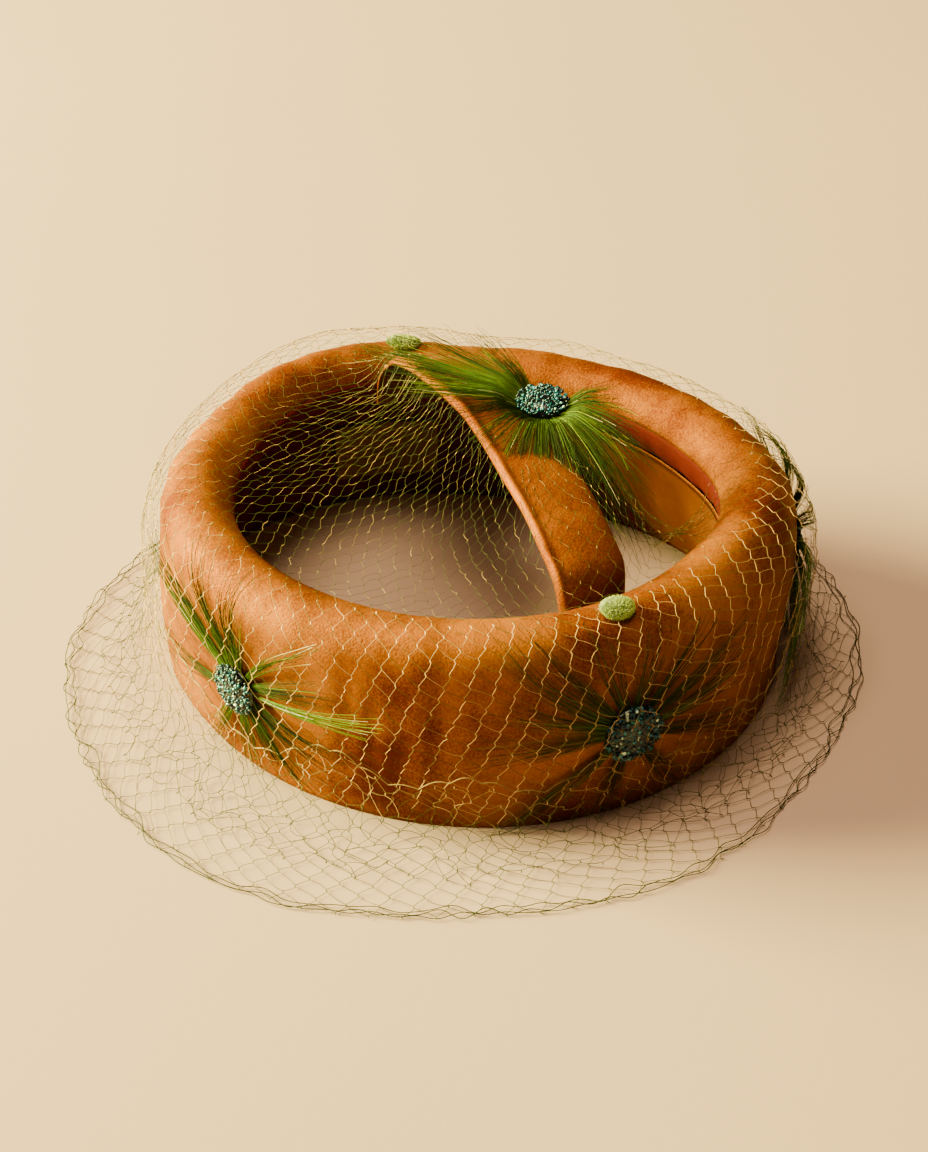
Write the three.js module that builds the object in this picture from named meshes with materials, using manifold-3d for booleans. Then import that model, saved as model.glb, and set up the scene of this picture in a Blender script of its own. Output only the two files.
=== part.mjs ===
// Cocktail hat: an open ring of padded satin with a strap, a net veil, feather tufts and bead buttons.
// Millimetres, +Z up. The hat lies on its lower edge, +Y is its back, and angles run from +X towards +Y.
import * as THREE from 'three';
import { mergeVertices } from 'three/addons/utils/BufferGeometryUtils.js';
import Module from 'manifold-3d';

const wasm = await Module();
wasm.setup();

// Driving sizes
const BAND_RADIUS = 92; // mean outer radius of the band at its lower edge
const BAND_HEIGHT = 64;
const ROLL_RADIUS = 11; // padded roll round the top of the band
const WALL_BULGE = 1;
const SATIN_WALL = 2.2;
const LINING_WALL = 1.2;
const LINING_LIFT = 0.8; // the lining stops this far above the lower edge
const FIT_GAP = 0.3; // between neighbouring pieces
const FACET_ALLOWANCE = 0.3; // how far a flat facet can stand off the true curve
const SATIN_TURN = 165; // degrees round the roll, from its outer side, where satin meets lining
const LABEL_WIDTH = 36;
const LABEL_HEIGHT = 20;
const LABEL_THICKNESS = 0.6;
const FACING_WALL = 1.2;
const FACING_BOW = 2;
const STRAP_WIDTH = 24;
const STRAP_THICKNESS = 3.2;
const STRAP_RISE = 11; // crest of the strap above the band
const OPENING_RADIUS = BAND_RADIUS - 2 * ROLL_RADIUS;
const NET_THICKNESS = 1;
const NET_ON_ROLL = 2.3; // middle of the net above the roll
const NET_OFF_WALL = 8; // middle of the net out from the wall
const NET_OVER_STRAP = 1.5; // free height between the strap and the net over it
const NET_REACH = 36; // mean reach of the net over the floor, out from the band
const NET_AROUND = 13; // diamonds round the net
const NET_COVER_ROWS = 4; // half rows of diamonds over the opening
const NET_SKIRT_ROWS = 6; // half rows from the roll's crest to the edge on the floor
const NET_STRAND = 0.15; // share of a diamond that its strands take
const BUTTON_RADIUS = 7.5;
const BUTTON_HEIGHT = 3.4;
const BACKING_RADIUS = 5.5;
const BACKING_THICKNESS = 0.9;
const LOCK_LENGTH = 40; // longest feather lock, as the shares in the tuft tables count it
const LOCK_WIDTH = 3.4;
const LOCK_THICKNESS = 0.9;
const LOCK_FLIGHT = 3.6; // how far the strap's locks rise before they clear the net
const DOT_LENGTH = 11;
const DOT_WIDTH = 8;
const DOT_HEIGHT = 1.3;

// Sections round the band, as shares of BAND_RADIUS, BAND_HEIGHT and ROLL_RADIUS.
// lean is how far the roll stands out past the lower edge, roll is its radius.
const BAND_SECTIONS = [
  { angle: 0, radius: 1.065, height: 0.977, lean: 0.32, roll: 1.09 },
  { angle: 30, radius: 0.978, height: 0.969, lean: 0.41, roll: 1.045 },
  { angle: 60, radius: 0.913, height: 0.961, lean: 0.32, roll: 0.955 },
  { angle: 90, radius: 0.918, height: 0.969, lean: 0.05, roll: 0.91 },
  { angle: 120, radius: 0.989, height: 1.0, lean: 0.09, roll: 0.91 },
  { angle: 150, radius: 1.054, height: 1.008, lean: -0.45, roll: 0.955 },
  { angle: 180, radius: 1.027, height: 1.0, lean: -0.14, roll: 1.0 },
  { angle: 210, radius: 0.962, height: 1.0, lean: 0.18, roll: 1.0 },
  { angle: 240, radius: 0.95, height: 0.992, lean: -0.05, roll: 1.0 },
  { angle: 270, radius: 0.967, height: 0.992, lean: -0.18, roll: 1.045 },
  { angle: 300, radius: 1.0, height: 0.992, lean: -0.18, roll: 1.045 },
  { angle: 330, radius: 1.039, height: 0.984, lean: -0.09, roll: 1.09 },
];

// Reach of the net over the floor, as a share of NET_REACH, and its lift over the roll in shares of NET_ON_ROLL.
const NET_SECTIONS = [
  { angle: 0, reach: 0.75, lift: 1 },
  { angle: 30, reach: 0.85, lift: 1 },
  { angle: 60, reach: 0.75, lift: 1 },
  { angle: 90, reach: 0.7, lift: 1.3 },
  { angle: 120, reach: 0.6, lift: 2.4 },
  { angle: 150, reach: 0.5, lift: 1.6 },
  { angle: 180, reach: 0.86, lift: 1 },
  { angle: 210, reach: 1.15, lift: 1 },
  { angle: 240, reach: 1.3, lift: 1 },
  { angle: 270, reach: 1.07, lift: 1.2 },
  { angle: 300, reach: 1.0, lift: 1.5 },
  { angle: 330, reach: 0.75, lift: 1.1 },
];

// Stations along the strap from its front end to its back end. along and side are shares of
// OPENING_RADIUS for the middle of the strap, rise is a share of STRAP_RISE above the band and
// width a share of STRAP_WIDTH. turn is how far the right side trails behind the left, in degrees.
// bow is how far the middle of its width stands out past the sides, as a share of STRAP_THICKNESS.
const STRAP_STATIONS = [
  { side: 0.526, along: -0.752, rise: -1.45, width: 0.96, turn: 33, bow: 0.42 },
  { side: 0.526, along: -0.75, rise: -0.85, width: 0.97, turn: 31, bow: 0.42 },
  { side: 0.51, along: -0.703, rise: -0.08, width: 0.98, turn: 24, bow: 0.25 },
  { side: 0.463, along: -0.578, rise: 0.3, width: 0.98, turn: 16, bow: 0.15 },
  { side: 0.397, along: -0.381, rise: 0.58, width: 0.98, turn: 12, bow: 0 },
  { side: 0.308, along: -0.158, rise: 0.82, width: 1, turn: 14, bow: 0 },
  { side: 0.234, along: 0.066, rise: 0.96, width: 1.06, turn: 15, bow: 0 },
  { side: 0.16, along: 0.289, rise: 1.02, width: 1.16, turn: 14, bow: 0 },
  { side: 0.066, along: 0.499, rise: 0.98, width: 1.28, turn: 10, bow: 0 },
  { side: -0.013, along: 0.657, rise: 0.8, width: 1.4, turn: 5, bow: 0.2 },
  { side: -0.076, along: 0.789, rise: 0.32, width: 1.52, turn: 4, bow: 0.6 },
  { side: -0.118, along: 0.854, rise: -0.4, width: 1.65, turn: 5, bow: 0.95 },
  { side: -0.125, along: 0.861, rise: -1.1, width: 1.68, turn: 6, bow: 1 },
];

// Line on which the net gathers, for the columns from COVER_FIRST to COVER_LAST: down the strap's left
// side, over the strap in front of its button, and to a knot at the right of the band. side and along
// are shares of OPENING_RADIUS, rise a share of STRAP_RISE above the band.
const GATHER = [
  { angle: 100, side: -0.343, along: 0.814, rise: 0.27 },
  { angle: 125, side: -0.214, along: 0.714, rise: 0.82 },
  { angle: 155, side: -0.121, along: 0.6, rise: 1.05 },
  { angle: 185, side: -0.071, along: 0.471, rise: 1.14 },
  { angle: 212, side: -0.029, along: 0.286, rise: 1.18 },
  { angle: 236, side: 0.05, along: 0.1, rise: 1.18 },
  { angle: 256, side: 0.157, along: 0.043, rise: 1.23 },
  { angle: 274, side: 0.257, along: 0.071, rise: 1.27 },
  { angle: 292, side: 0.357, along: 0.114, rise: 1.27 },
  { angle: 308, side: 0.471, along: 0.129, rise: 1.14 },
  { angle: 322, side: 0.6, along: -0.114, rise: 0.64 },
  { angle: 336, side: 0.743, along: -0.386, rise: 0.18 },
  { angle: 350, side: 0.814, along: -0.486, rise: 0.09 },
  { angle: 372, side: 0.857, along: -0.471, rise: 0.05 },
];

// Crescent of satin inside the right of the band: how far down the wall it hangs, as a share.
const FACING_SECTIONS = [
  { angle: -26, hang: 0.12 },
  { angle: -16, hang: 0.55 },
  { angle: -4, hang: 0.86 },
  { angle: 12, hang: 0.94 },
  { angle: 28, hang: 0.95 },
  { angle: 38, hang: 0.92 },
  { angle: 47, hang: 0.68 },
  { angle: 56, hang: 0.4 },
  { angle: 65, hang: 0.1 },
];

// Feather locks of each tuft: direction in degrees, 0 along the band and 90 up, length as a share of LOCK_LENGTH.
const LEFT_LOCKS = [
  { turn: 166, length: 1.05 }, { turn: 143, length: 0.85 }, { turn: 118, length: 0.72 },
  { turn: 86, length: 0.52 }, { turn: 46, length: 0.72 }, { turn: 20, length: 0.72 },
  { turn: -5, length: 0.92 }, { turn: -34, length: 0.7 }, { turn: -72, length: 0.62 },
  { turn: -118, length: 0.62 }, { turn: -168, length: 0.72 },
];
const RIGHT_LOCKS = [
  { turn: 143, length: 1.12 }, { turn: 120, length: 0.9 }, { turn: 95, length: 0.68 },
  { turn: 62, length: 0.62 }, { turn: 36, length: 0.8 }, { turn: 12, length: 0.9 },
  { turn: -12, length: 0.95 }, { turn: -50, length: 0.66 },
  { turn: -110, length: 0.6 }, { turn: -150, length: 1.0 }, { turn: 176, length: 0.82 },
];
const SIDE_LOCKS = [
  { turn: 204, length: 1.15 }, { turn: 184, length: 0.85 }, { turn: 160, length: 0.7 },
  { turn: 124, length: 0.6 }, { turn: 84, length: 0.5 }, { turn: 44, length: 0.68 },
  { turn: 6, length: 0.75 }, { turn: -32, length: 0.7 }, { turn: -68, length: 0.7 },
  { turn: -104, length: 0.78 }, { turn: -134, length: 0.8 },
];
// The tuft on the strap is measured from above: 0 is +X and 90 is the back.
const TOP_LOCKS = [
  { turn: 158, length: 1.35 }, { turn: 172, length: 1.15 }, { turn: 140, length: 1.05 },
  { turn: 188, length: 0.85 }, { turn: 214, length: 0.62 }, { turn: 240, length: 0.62 },
  { turn: 266, length: 0.66 }, { turn: 292, length: 0.7 }, { turn: 316, length: 1.0 },
  { turn: 336, length: 0.9 }, { turn: 10, length: 0.45 }, { turn: 112, length: 0.5 },
];

// Colours and finishes
const FINISHES = {
  satin: { color: 0xb4651f, roughness: 0.42, metalness: 0.0 },
  lining: { color: 0x2e140d, roughness: 0.8, metalness: 0.0 },
  label: { color: 0x4c3c24, roughness: 0.9, metalness: 0.0 },
  net: { color: 0x6d7034, roughness: 0.7, metalness: 0.0 },
  feather: { color: 0x35521c, roughness: 0.7, metalness: 0.0 },
  beads: { color: 0x2c4a4c, roughness: 0.3, metalness: 0.4 },
  chenille: { color: 0x9fa03d, roughness: 0.95, metalness: 0.0 },
};

const rad = THREE.MathUtils.degToRad;
const clamp = THREE.MathUtils.clamp;
const lerp = THREE.MathUtils.lerp;
const smoothstep = THREE.MathUtils.smoothstep;

// Smooth value between rows of a table. A closed table repeats every 360 degrees.
function between(rows, key, name, at, closed) {
  const count = rows.length;
  const span = 360;
  const value = (i) => rows[closed ? (i + count) % count : clamp(i, 0, count - 1)][name];
  const place = (i) => {
    if (!closed) return rows[clamp(i, 0, count - 1)][key];
    return rows[(i + count) % count][key] + span * Math.floor(i / count);
  };
  const wanted = closed ? ((at % span) + span) % span : at;
  let row = 0;
  while (row < count - (closed ? 1 : 2) && place(row + 1) <= wanted) row += 1;
  const t = clamp((wanted - place(row)) / (place(row + 1) - place(row) || 1), 0, 1);
  const [a, b, c, d] = [value(row - 1), value(row), value(row + 1), value(row + 2)];
  return 0.5 * (2 * b + (c - a) * t + (2 * a - 5 * b + 4 * c - d) * t * t + (3 * b - a - 3 * c + d) * t ** 3);
}

const band = (name, angle) => between(BAND_SECTIONS, 'angle', name, angle, true);
const bandRadius = (angle) => BAND_RADIUS * band('radius', angle);
const bandHeight = (angle) => BAND_HEIGHT * band('height', angle);
const rollRadius = (angle) => ROLL_RADIUS * band('roll', angle);
const rollLean = (angle) => ROLL_RADIUS * band('lean', angle);

// Point of the band's frame: out is the distance out from the lower edge's line, z the height.
function bandPoint(angle, out, z) {
  const step = 1;
  const edge = (a) => new THREE.Vector2(Math.cos(rad(a)), Math.sin(rad(a))).multiplyScalar(bandRadius(a));
  const tangent = edge(angle + step).sub(edge(angle - step)).normalize();
  const foot = edge(angle);
  return new THREE.Vector3(foot.x + tangent.y * out, foot.y - tangent.x * out, z);
}

// The band's outer face, by height, up to the widest line of the roll.
function wallOut(angle, z) {
  const rise = clamp(z / (bandHeight(angle) - rollRadius(angle)), 0, 1);
  return rollLean(angle) * (1 - Math.cos(Math.PI * rise)) / 2 + WALL_BULGE * Math.sin(Math.PI * rise);
}

// Point on the roll in the band's section, turn degrees from its outer side, off its surface by offset.
function rollPoint(angle, turn, offset = 0) {
  const radius = rollRadius(angle);
  const reach = radius + offset;
  return {
    out: rollLean(angle) - radius + reach * Math.cos(rad(turn)),
    z: bandHeight(angle) - radius + reach * Math.sin(rad(turn)),
  };
}

// The outer face as one path from the lower edge over the roll, with its length.
function outerPath(angle, lastTurn = 125) {
  const wallSteps = 5;
  const turnStep = 25;
  const widest = bandHeight(angle) - rollRadius(angle);
  const path = [];
  for (let i = 0; i < wallSteps; i += 1) {
    const z = widest * i / wallSteps;
    path.push({ out: wallOut(angle, z), z });
  }
  for (let turn = 0; turn <= lastTurn; turn += turnStep) path.push(rollPoint(angle, turn));
  return path;
}

// Point at a length along the outer face, off the surface by offset.
function onOuterFace(angle, length, offset) {
  const path = outerPath(angle);
  let left = length;
  let i = 0;
  let piece = 0;
  for (; i < path.length - 1; i += 1) {
    piece = Math.hypot(path[i + 1].out - path[i].out, path[i + 1].z - path[i].z);
    if (left <= piece || i === path.length - 2) break;
    left -= piece;
  }
  const along = { out: (path[i + 1].out - path[i].out) / piece, z: (path[i + 1].z - path[i].z) / piece };
  const out = path[i].out + along.out * left + along.z * offset;
  const z = path[i].z + along.z * left - along.out * offset;
  return bandPoint(angle, out, z);
}

// Closed mesh from rings of points: each ring has the same number of points.
function loft(rings, closed) {
  const count = rings[0].length;
  const points = rings.flat();
  const faces = [];
  const last = closed ? rings.length : rings.length - 1;
  for (let i = 0; i < last; i += 1) {
    const next = (i + 1) % rings.length;
    for (let j = 0; j < count; j += 1) {
      const k = (j + 1) % count;
      faces.push([i * count + j, next * count + j, next * count + k]);
      faces.push([i * count + j, next * count + k, i * count + k]);
    }
  }
  if (!closed) {
    const cap = (ring, start, flip) => {
      for (const face of THREE.ShapeUtils.triangulateShape(flatten(ring), [])) {
        const [a, b, c] = face.map((corner) => start + corner);
        faces.push(flip ? [a, c, b] : [a, b, c]);
      }
    };
    cap(rings[0], 0, false);
    cap(rings[rings.length - 1], (rings.length - 1) * count, true);
  }
  return facedOut(points, faces);
}

// A ring of points seen in its own plane, anticlockwise.
function flatten(ring) {
  const centre = ring.reduce((sum, p) => sum.add(p), new THREE.Vector3()).divideScalar(ring.length);
  const normal = new THREE.Vector3();
  ring.forEach((p, i) => {
    const next = ring[(i + 1) % ring.length];
    normal.add(p.clone().sub(centre).cross(next.clone().sub(centre)));
  });
  normal.normalize();
  const axisU = ring[0].clone().sub(centre);
  axisU.addScaledVector(normal, -axisU.dot(normal)).normalize();
  const axisV = normal.clone().cross(axisU);
  return ring.map((p) => {
    const d = p.clone().sub(centre);
    return new THREE.Vector2(d.dot(axisU), d.dot(axisV));
  });
}

// Geometry with its faces turned out, which a positive volume shows.
function facedOut(points, faces) {
  let volume = 0;
  for (const [a, b, c] of faces) volume += points[a].dot(points[b].clone().cross(points[c]));
  const index = faces.flatMap(([a, b, c]) => (volume > 0 ? [a, b, c] : [a, c, b]));
  const geometry = new THREE.BufferGeometry();
  geometry.setAttribute('position', new THREE.Float32BufferAttribute(points.flatMap((p) => p.toArray()), 3));
  geometry.setIndex(index);
  return geometry;
}

function toSolid(geometry) {
  const bare = geometry.clone();
  bare.deleteAttribute('normal');
  bare.deleteAttribute('uv');
  const merged = mergeVertices(bare, 1e-4);
  return new wasm.Manifold(new wasm.Mesh({
    numProp: 3,
    vertProperties: new Float32Array(merged.attributes.position.array),
    triVerts: new Uint32Array(merged.index.array),
  }));
}

function toGeometry(solid) {
  const mesh = solid.getMesh();
  const geometry = new THREE.BufferGeometry();
  geometry.setAttribute('position', new THREE.Float32BufferAttribute(mesh.vertProperties, 3));
  geometry.setIndex(Array.from(mesh.triVerts));
  return geometry;
}

// Crown band: one satin wall with the padded roll, rebated where the lining turns onto the roll.
const REBATE = LINING_WALL + FIT_GAP;
const BAND_STEPS = 44; // sections round the band and its lining
const UNDERSIDE_TURN = 255; // degrees round the roll where its underside leaves it for the wall

// Height of the corner where the wall meets the roll's underside.
function wallTop(angle) {
  return rollPoint(angle, 270, -REBATE).z - 1;
}

// The satin's inner face, flat from its middle to its top and from its middle to its foot.
function innerWallOut(angle, z) {
  const half = wallTop(angle) / 2;
  const low = z < half ? 0 : half;
  return lerp(wallOut(angle, low), wallOut(angle, low + half), (z - low) / half) - SATIN_WALL;
}

// Section of the lining's side of the wall, from the seam on the roll down to the lower edge.
function innerFace(angle, offset, lift) {
  const face = [];
  const seam = SATIN_TURN + (offset > 0 ? THREE.MathUtils.radToDeg(FIT_GAP / ROLL_RADIUS) : 0);
  for (const turn of [seam, 195, 225, UNDERSIDE_TURN]) face.push(rollPoint(angle, turn, offset - REBATE));
  const top = wallTop(angle);
  face.push({ out: innerWallOut(angle, top) - offset, z: top - offset });
  face.push({ out: innerWallOut(angle, top / 2) - offset, z: top / 2 });
  face.push({ out: innerWallOut(angle, 0) - offset, z: lift });
  return face;
}

function bandRing(angle) {
  const outer = outerPath(angle, 150);
  const skin = rollPoint(angle, SATIN_TURN);
  const section = [...outer, skin, ...innerFace(angle, 0, 0)];
  return section.map((p) => bandPoint(angle, p.out, p.z));
}

function crownBand() {
  const steps = BAND_STEPS;
  const rings = [];
  for (let i = 0; i < steps; i += 1) rings.push(bandRing(360 * i / steps));
  return loft(rings, true);
}

function lining() {
  const steps = BAND_STEPS;
  const rings = [];
  for (let i = 0; i < steps; i += 1) {
    const angle = 360 * i / steps;
    const back = innerFace(angle, FIT_GAP, LINING_LIFT);
    const front = innerFace(angle, FIT_GAP + LINING_WALL, LINING_LIFT).reverse();
    rings.push([...back, ...front].map((p) => bandPoint(angle, p.out, p.z)));
  }
  return loft(rings, true);
}

// How far pieces laid on the lining stand off the satin's inner face.
const ON_LINING = 2 * FIT_GAP + LINING_WALL;

function label() {
  const middle = 108;
  const low = LABEL_HEIGHT / 2;
  const steps = 6;
  const half = THREE.MathUtils.radToDeg(LABEL_WIDTH / 2 / bandRadius(middle));
  const rings = [];
  for (let i = 0; i <= steps; i += 1) {
    const angle = middle + half * (1 - 2 * i / steps);
    const ring = [];
    for (const [offset, z] of [[0, 0], [0, 0.5], [0, 1], [1, 1], [1, 0.5], [1, 0]]) {
      const height = low + LABEL_HEIGHT * z;
      const out = innerWallOut(angle, height) - ON_LINING - FACET_ALLOWANCE - LABEL_THICKNESS * offset;
      ring.push(bandPoint(angle, out, height));
    }
    rings.push(ring);
  }
  return loft(rings, false);
}

// Crescent of satin from the roll's underside down to the wall.
function facing() {
  const hangFrom = 215;
  const steps = 16;
  const first = FACING_SECTIONS[0].angle;
  const last = FACING_SECTIONS[FACING_SECTIONS.length - 1].angle;
  const rings = [];
  for (let i = 0; i <= steps; i += 1) {
    const angle = lerp(first, last, i / steps);
    const hang = between(FACING_SECTIONS, 'angle', 'hang', angle, false);
    const top = rollPoint(angle, hangFrom, FIT_GAP + FACET_ALLOWANCE);
    const lowest = LINING_LIFT + FACING_WALL;
    const foot = { z: lowest, out: innerWallOut(angle, lowest) - ON_LINING - FACET_ALLOWANCE };
    const bottom = { out: lerp(top.out, foot.out, hang), z: lerp(top.z, foot.z, hang) };
    const slope = new THREE.Vector2(bottom.out - top.out, bottom.z - top.z).normalize();
    const inward = { out: slope.y, z: -slope.x };
    const bow = FACING_BOW * hang;
    const ring = [];
    const place = (share, depth) => {
      const shift = depth + bow * Math.sin(Math.PI * share);
      ring.push(bandPoint(angle, lerp(top.out, bottom.out, share) + inward.out * shift,
        lerp(top.z, bottom.z, share) + inward.z * shift));
    };
    for (const share of [0, 0.33, 0.67, 1]) place(share, 0);
    for (const share of [1, 0.67, 0.33, 0]) place(share, FACING_WALL);
    rings.push(ring);
  }
  return loft(rings, false);
}

// Strap across the opening
function strapFrame(share) {
  const rows = STRAP_STATIONS;
  const keyed = rows.map((row, i) => ({ ...row, at: i / (rows.length - 1) }));
  const read = (name, at) => between(keyed, 'at', name, clamp(at, 0, 1), false);
  const middle = (at) => new THREE.Vector3(
    OPENING_RADIUS * read('side', at), OPENING_RADIUS * read('along', at),
    BAND_HEIGHT + STRAP_RISE * read('rise', at));
  const step = 0.02;
  const forward = middle(share + step).sub(middle(share - step)).normalize();
  const turn = rad(read('turn', share));
  const across = new THREE.Vector3(Math.cos(turn), Math.sin(turn), 0);
  across.addScaledVector(forward, -across.dot(forward)).normalize();
  const up = across.clone().cross(forward).normalize();
  const half = STRAP_WIDTH * read('width', share) / 2;
  return { middle: middle(share), forward, across, up, half, bow: STRAP_THICKNESS * read('bow', share) };
}

function strap() {
  const steps = 18;
  const rings = [];
  for (let i = 0; i <= steps; i += 1) {
    const { middle, across, up, half, bow } = strapFrame(i / steps);
    const thick = STRAP_THICKNESS / 2;
    const side = 1 - thick / half;
    const ring = [[-1, 0], [-side, 1], [-side / 2, 0.8], [side / 2, 0.75], [side, 0.85], [1, 0],
      [side, -0.85], [side / 2, -0.75], [-side / 2, -0.8], [-side, -1]];
    rings.push(ring.map(([x, z]) => middle.clone().addScaledVector(across, half * x)
      .addScaledVector(up, thick * z + bow * (1 - x * x))));
  }
  return loft(rings, false);
}

// Where the top button sits: towards the strap's right side.
const TOP_SHARE = 0.55;
const TOP_SIDE = 0.78;

function topSeat() {
  const frame = strapFrame(TOP_SHARE);
  const point = frame.middle.clone().addScaledVector(frame.across, frame.half * TOP_SIDE)
    .addScaledVector(frame.up, STRAP_THICKNESS / 2);
  return { ...frame, point };
}

// Net veil
const COVER_FIRST = 100; // the net covers the opening from this angle on, anticlockwise
const COVER_LAST = 372;

function gatherPoint(angle) {
  const read = (name) => between(GATHER, 'angle', name, clamp(angle, COVER_FIRST, COVER_LAST), false);
  return new THREE.Vector3(
    OPENING_RADIUS * read('side'), OPENING_RADIUS * read('along'), BAND_HEIGHT + STRAP_RISE * read('rise'));
}

// Frames along the strap, from which the net is held clear of it.
const STRAP_FRAMES = [];
for (let share = 0.04; share < 0.97; share += 0.02) STRAP_FRAMES.push(strapFrame(share));

function clearOfStrap(point) {
  const wanted = STRAP_THICKNESS / 2 + NET_THICKNESS / 2 + NET_OVER_STRAP;
  let nearest = null;
  for (const frame of STRAP_FRAMES) {
    const away = point.clone().sub(frame.middle);
    const along = Math.abs(away.dot(frame.forward));
    if (!nearest || along < nearest.along) nearest = { frame, away, along };
  }
  const { frame, away, along } = nearest;
  const near = 1 - smoothstep(Math.abs(away.dot(frame.across)) / frame.half, 1.05, 1.45);
  const short = wanted + frame.bow - away.dot(frame.up);
  if (along > 1.25 * STRAP_THICKNESS || short <= 0) return point;
  return point.clone().addScaledVector(frame.up, short * near);
}

const net = (name, angle) => between(NET_SECTIONS, 'angle', name, angle, true);

function meridian(points) {
  const lengths = [0];
  for (let i = 1; i < points.length; i += 1) lengths.push(lengths[i - 1] + points[i].distanceTo(points[i - 1]));
  const total = lengths[lengths.length - 1];
  return (share) => {
    const wanted = clamp(share, 0, 1) * total;
    let i = 1;
    while (i < points.length - 1 && lengths[i] < wanted) i += 1;
    const t = (wanted - lengths[i - 1]) / (lengths[i] - lengths[i - 1]);
    return points[i - 1].clone().lerp(points[i], t);
  };
}

function skirtPoints(angle) {
  const lift = NET_ON_ROLL * net('lift', angle);
  const points = [];
  for (const [turn, more] of [[90, 0], [65, 0], [40, 0.4], [20, 1]]) {
    const p = rollPoint(angle, turn, lift + NET_ON_ROLL * more);
    points.push(bandPoint(angle, p.out, p.z));
  }
  const rim = Math.max(rollLean(angle), 0);
  const reach = NET_REACH * net('reach', angle);
  const floor = NET_THICKNESS / 2;
  const height = bandHeight(angle);
  points.push(bandPoint(angle, rim + NET_OFF_WALL * 0.9, height * 0.68));
  points.push(bandPoint(angle, rim + NET_OFF_WALL, height * 0.45));
  points.push(bandPoint(angle, rim + NET_OFF_WALL * 1.1, height * 0.2));
  points.push(bandPoint(angle, rim + Math.min(NET_OFF_WALL * 1.5, reach * 0.5), height * 0.05));
  points.push(bandPoint(angle, rim + Math.min(NET_OFF_WALL * 1.9, reach * 0.7), floor));
  points.push(bandPoint(angle, reach, floor));
  return points;
}

function coverPoints(angle) {
  const lift = NET_ON_ROLL * net('lift', angle);
  const crest = rollPoint(angle, 90, lift);
  const inner = rollPoint(angle, 125, lift + FIT_GAP);
  const start = gatherPoint(angle);
  const end = bandPoint(angle, inner.out, inner.z);
  const overStrap = Math.exp(-(((angle - 302) / 26) ** 2));
  const sag = NET_ON_ROLL * lerp(-1.5, 1.5, overStrap);
  const points = [];
  for (const share of [0, 0.25, 0.5, 0.75, 1]) {
    const p = start.clone().lerp(end, share);
    p.z += sag * 4 * share * (1 - share);
    points.push(p);
  }
  points.push(bandPoint(angle, crest.out, crest.z));
  return points;
}

// Point of the net: around counts half diamonds round the hat, row counts half rows from the gather.
function netPoint(around, row) {
  const angle = COVER_FIRST + 180 * around / NET_AROUND;
  if (row <= NET_COVER_ROWS) return clearOfStrap(meridian(coverPoints(angle))(row / NET_COVER_ROWS));
  return meridian(skirtPoints(angle))((row - NET_COVER_ROWS) / NET_SKIRT_ROWS);
}

function netNormal(around, row) {
  const step = 0.25;
  const du = netPoint(around + step, row).sub(netPoint(around - step, row));
  const rowA = Math.min(row + step, NET_COVER_ROWS + NET_SKIRT_ROWS);
  const rowB = Math.max(row - step, 0);
  const dv = netPoint(around, rowA).sub(netPoint(around, rowB));
  return du.cross(dv).normalize();
}

// Diamonds of the net, in half diamonds round and half rows down, each a ring of corners and middles.
function netCells() {
  const cells = [];
  const rows = NET_COVER_ROWS + NET_SKIRT_ROWS;
  for (let row = 1; row <= rows; row += 1) {
    for (let i = 0; i < NET_AROUND; i += 1) {
      const around = 2 * i + (row % 2);
      const angle = COVER_FIRST + 180 * around / NET_AROUND;
      if (row <= NET_COVER_ROWS && (angle > COVER_LAST || around === 0)) continue;
      if (row < rows) {
        cells.push([[around - 1, row], [around, row - 1], [around + 1, row], [around, row + 1]]);
      } else {
        cells.push([[around - 1, row], [around, row - 1], [around + 1, row], [around, row]]);
      }
    }
  }
  return cells;
}

function veil() {
  const points = [];
  const normals = [];
  const known = new Map();
  const whole = 2 * NET_AROUND;
  const vertex = (around, row, key) => {
    if (key && known.has(key)) return known.get(key);
    points.push(netPoint(around, row));
    normals.push(netNormal(around, row));
    if (key) known.set(key, points.length - 1);
    return points.length - 1;
  };
  const faces = [];
  for (const corners of netCells()) {
    const outline = [];
    corners.forEach((corner, i) => {
      const next = corners[(i + 1) % corners.length];
      outline.push(corner, [(corner[0] + next[0]) / 2, (corner[1] + next[1]) / 2]);
    });
    const middle = [0, 1].map((k) => outline.reduce((sum, p) => sum + p[k], 0) / outline.length);
    const outer = outline.map(([around, row]) => vertex(around, row, `${(around + whole) % whole},${row}`));
    const inner = outline.map(([around, row]) => vertex(
      lerp(around, middle[0], NET_STRAND), lerp(row, middle[1], NET_STRAND)));
    for (let i = 0; i < outline.length; i += 1) {
      const k = (i + 1) % outline.length;
      faces.push([outer[i], outer[k], inner[k]], [outer[i], inner[k], inner[i]]);
    }
  }
  return thicken(points, normals, faces, NET_THICKNESS);
}

// Sheet of faces made a closed wall: both sides, and a rim along every free edge.
function thicken(points, normals, faces, thickness) {
  const count = points.length;
  const both = [1, -1].flatMap((side) => points.map((p, i) => p.clone().addScaledVector(normals[i], side * thickness / 2)));
  const edges = new Set(faces.flatMap(([a, b, c]) => [`${a},${b}`, `${b},${c}`, `${c},${a}`]));
  const all = [];
  for (const [a, b, c] of faces) {
    all.push([a, b, c], [a + count, c + count, b + count]);
    for (const [from, to] of [[a, b], [b, c], [c, a]]) {
      if (!edges.has(`${to},${from}`)) all.push([to, from, from + count], [to, from + count, to + count]);
    }
  }
  return facedOut(both, all);
}

// A seat on the band's outer face: place(along, up, off) gives the point that far along the band,
// up its face and off it.
function wallSeat(angle, height) {
  return (along, up, off) => {
    const turned = angle + THREE.MathUtils.radToDeg(along / bandRadius(angle));
    return onOuterFace(turned, Math.max(height + up, FIT_GAP), off);
  };
}

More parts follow.
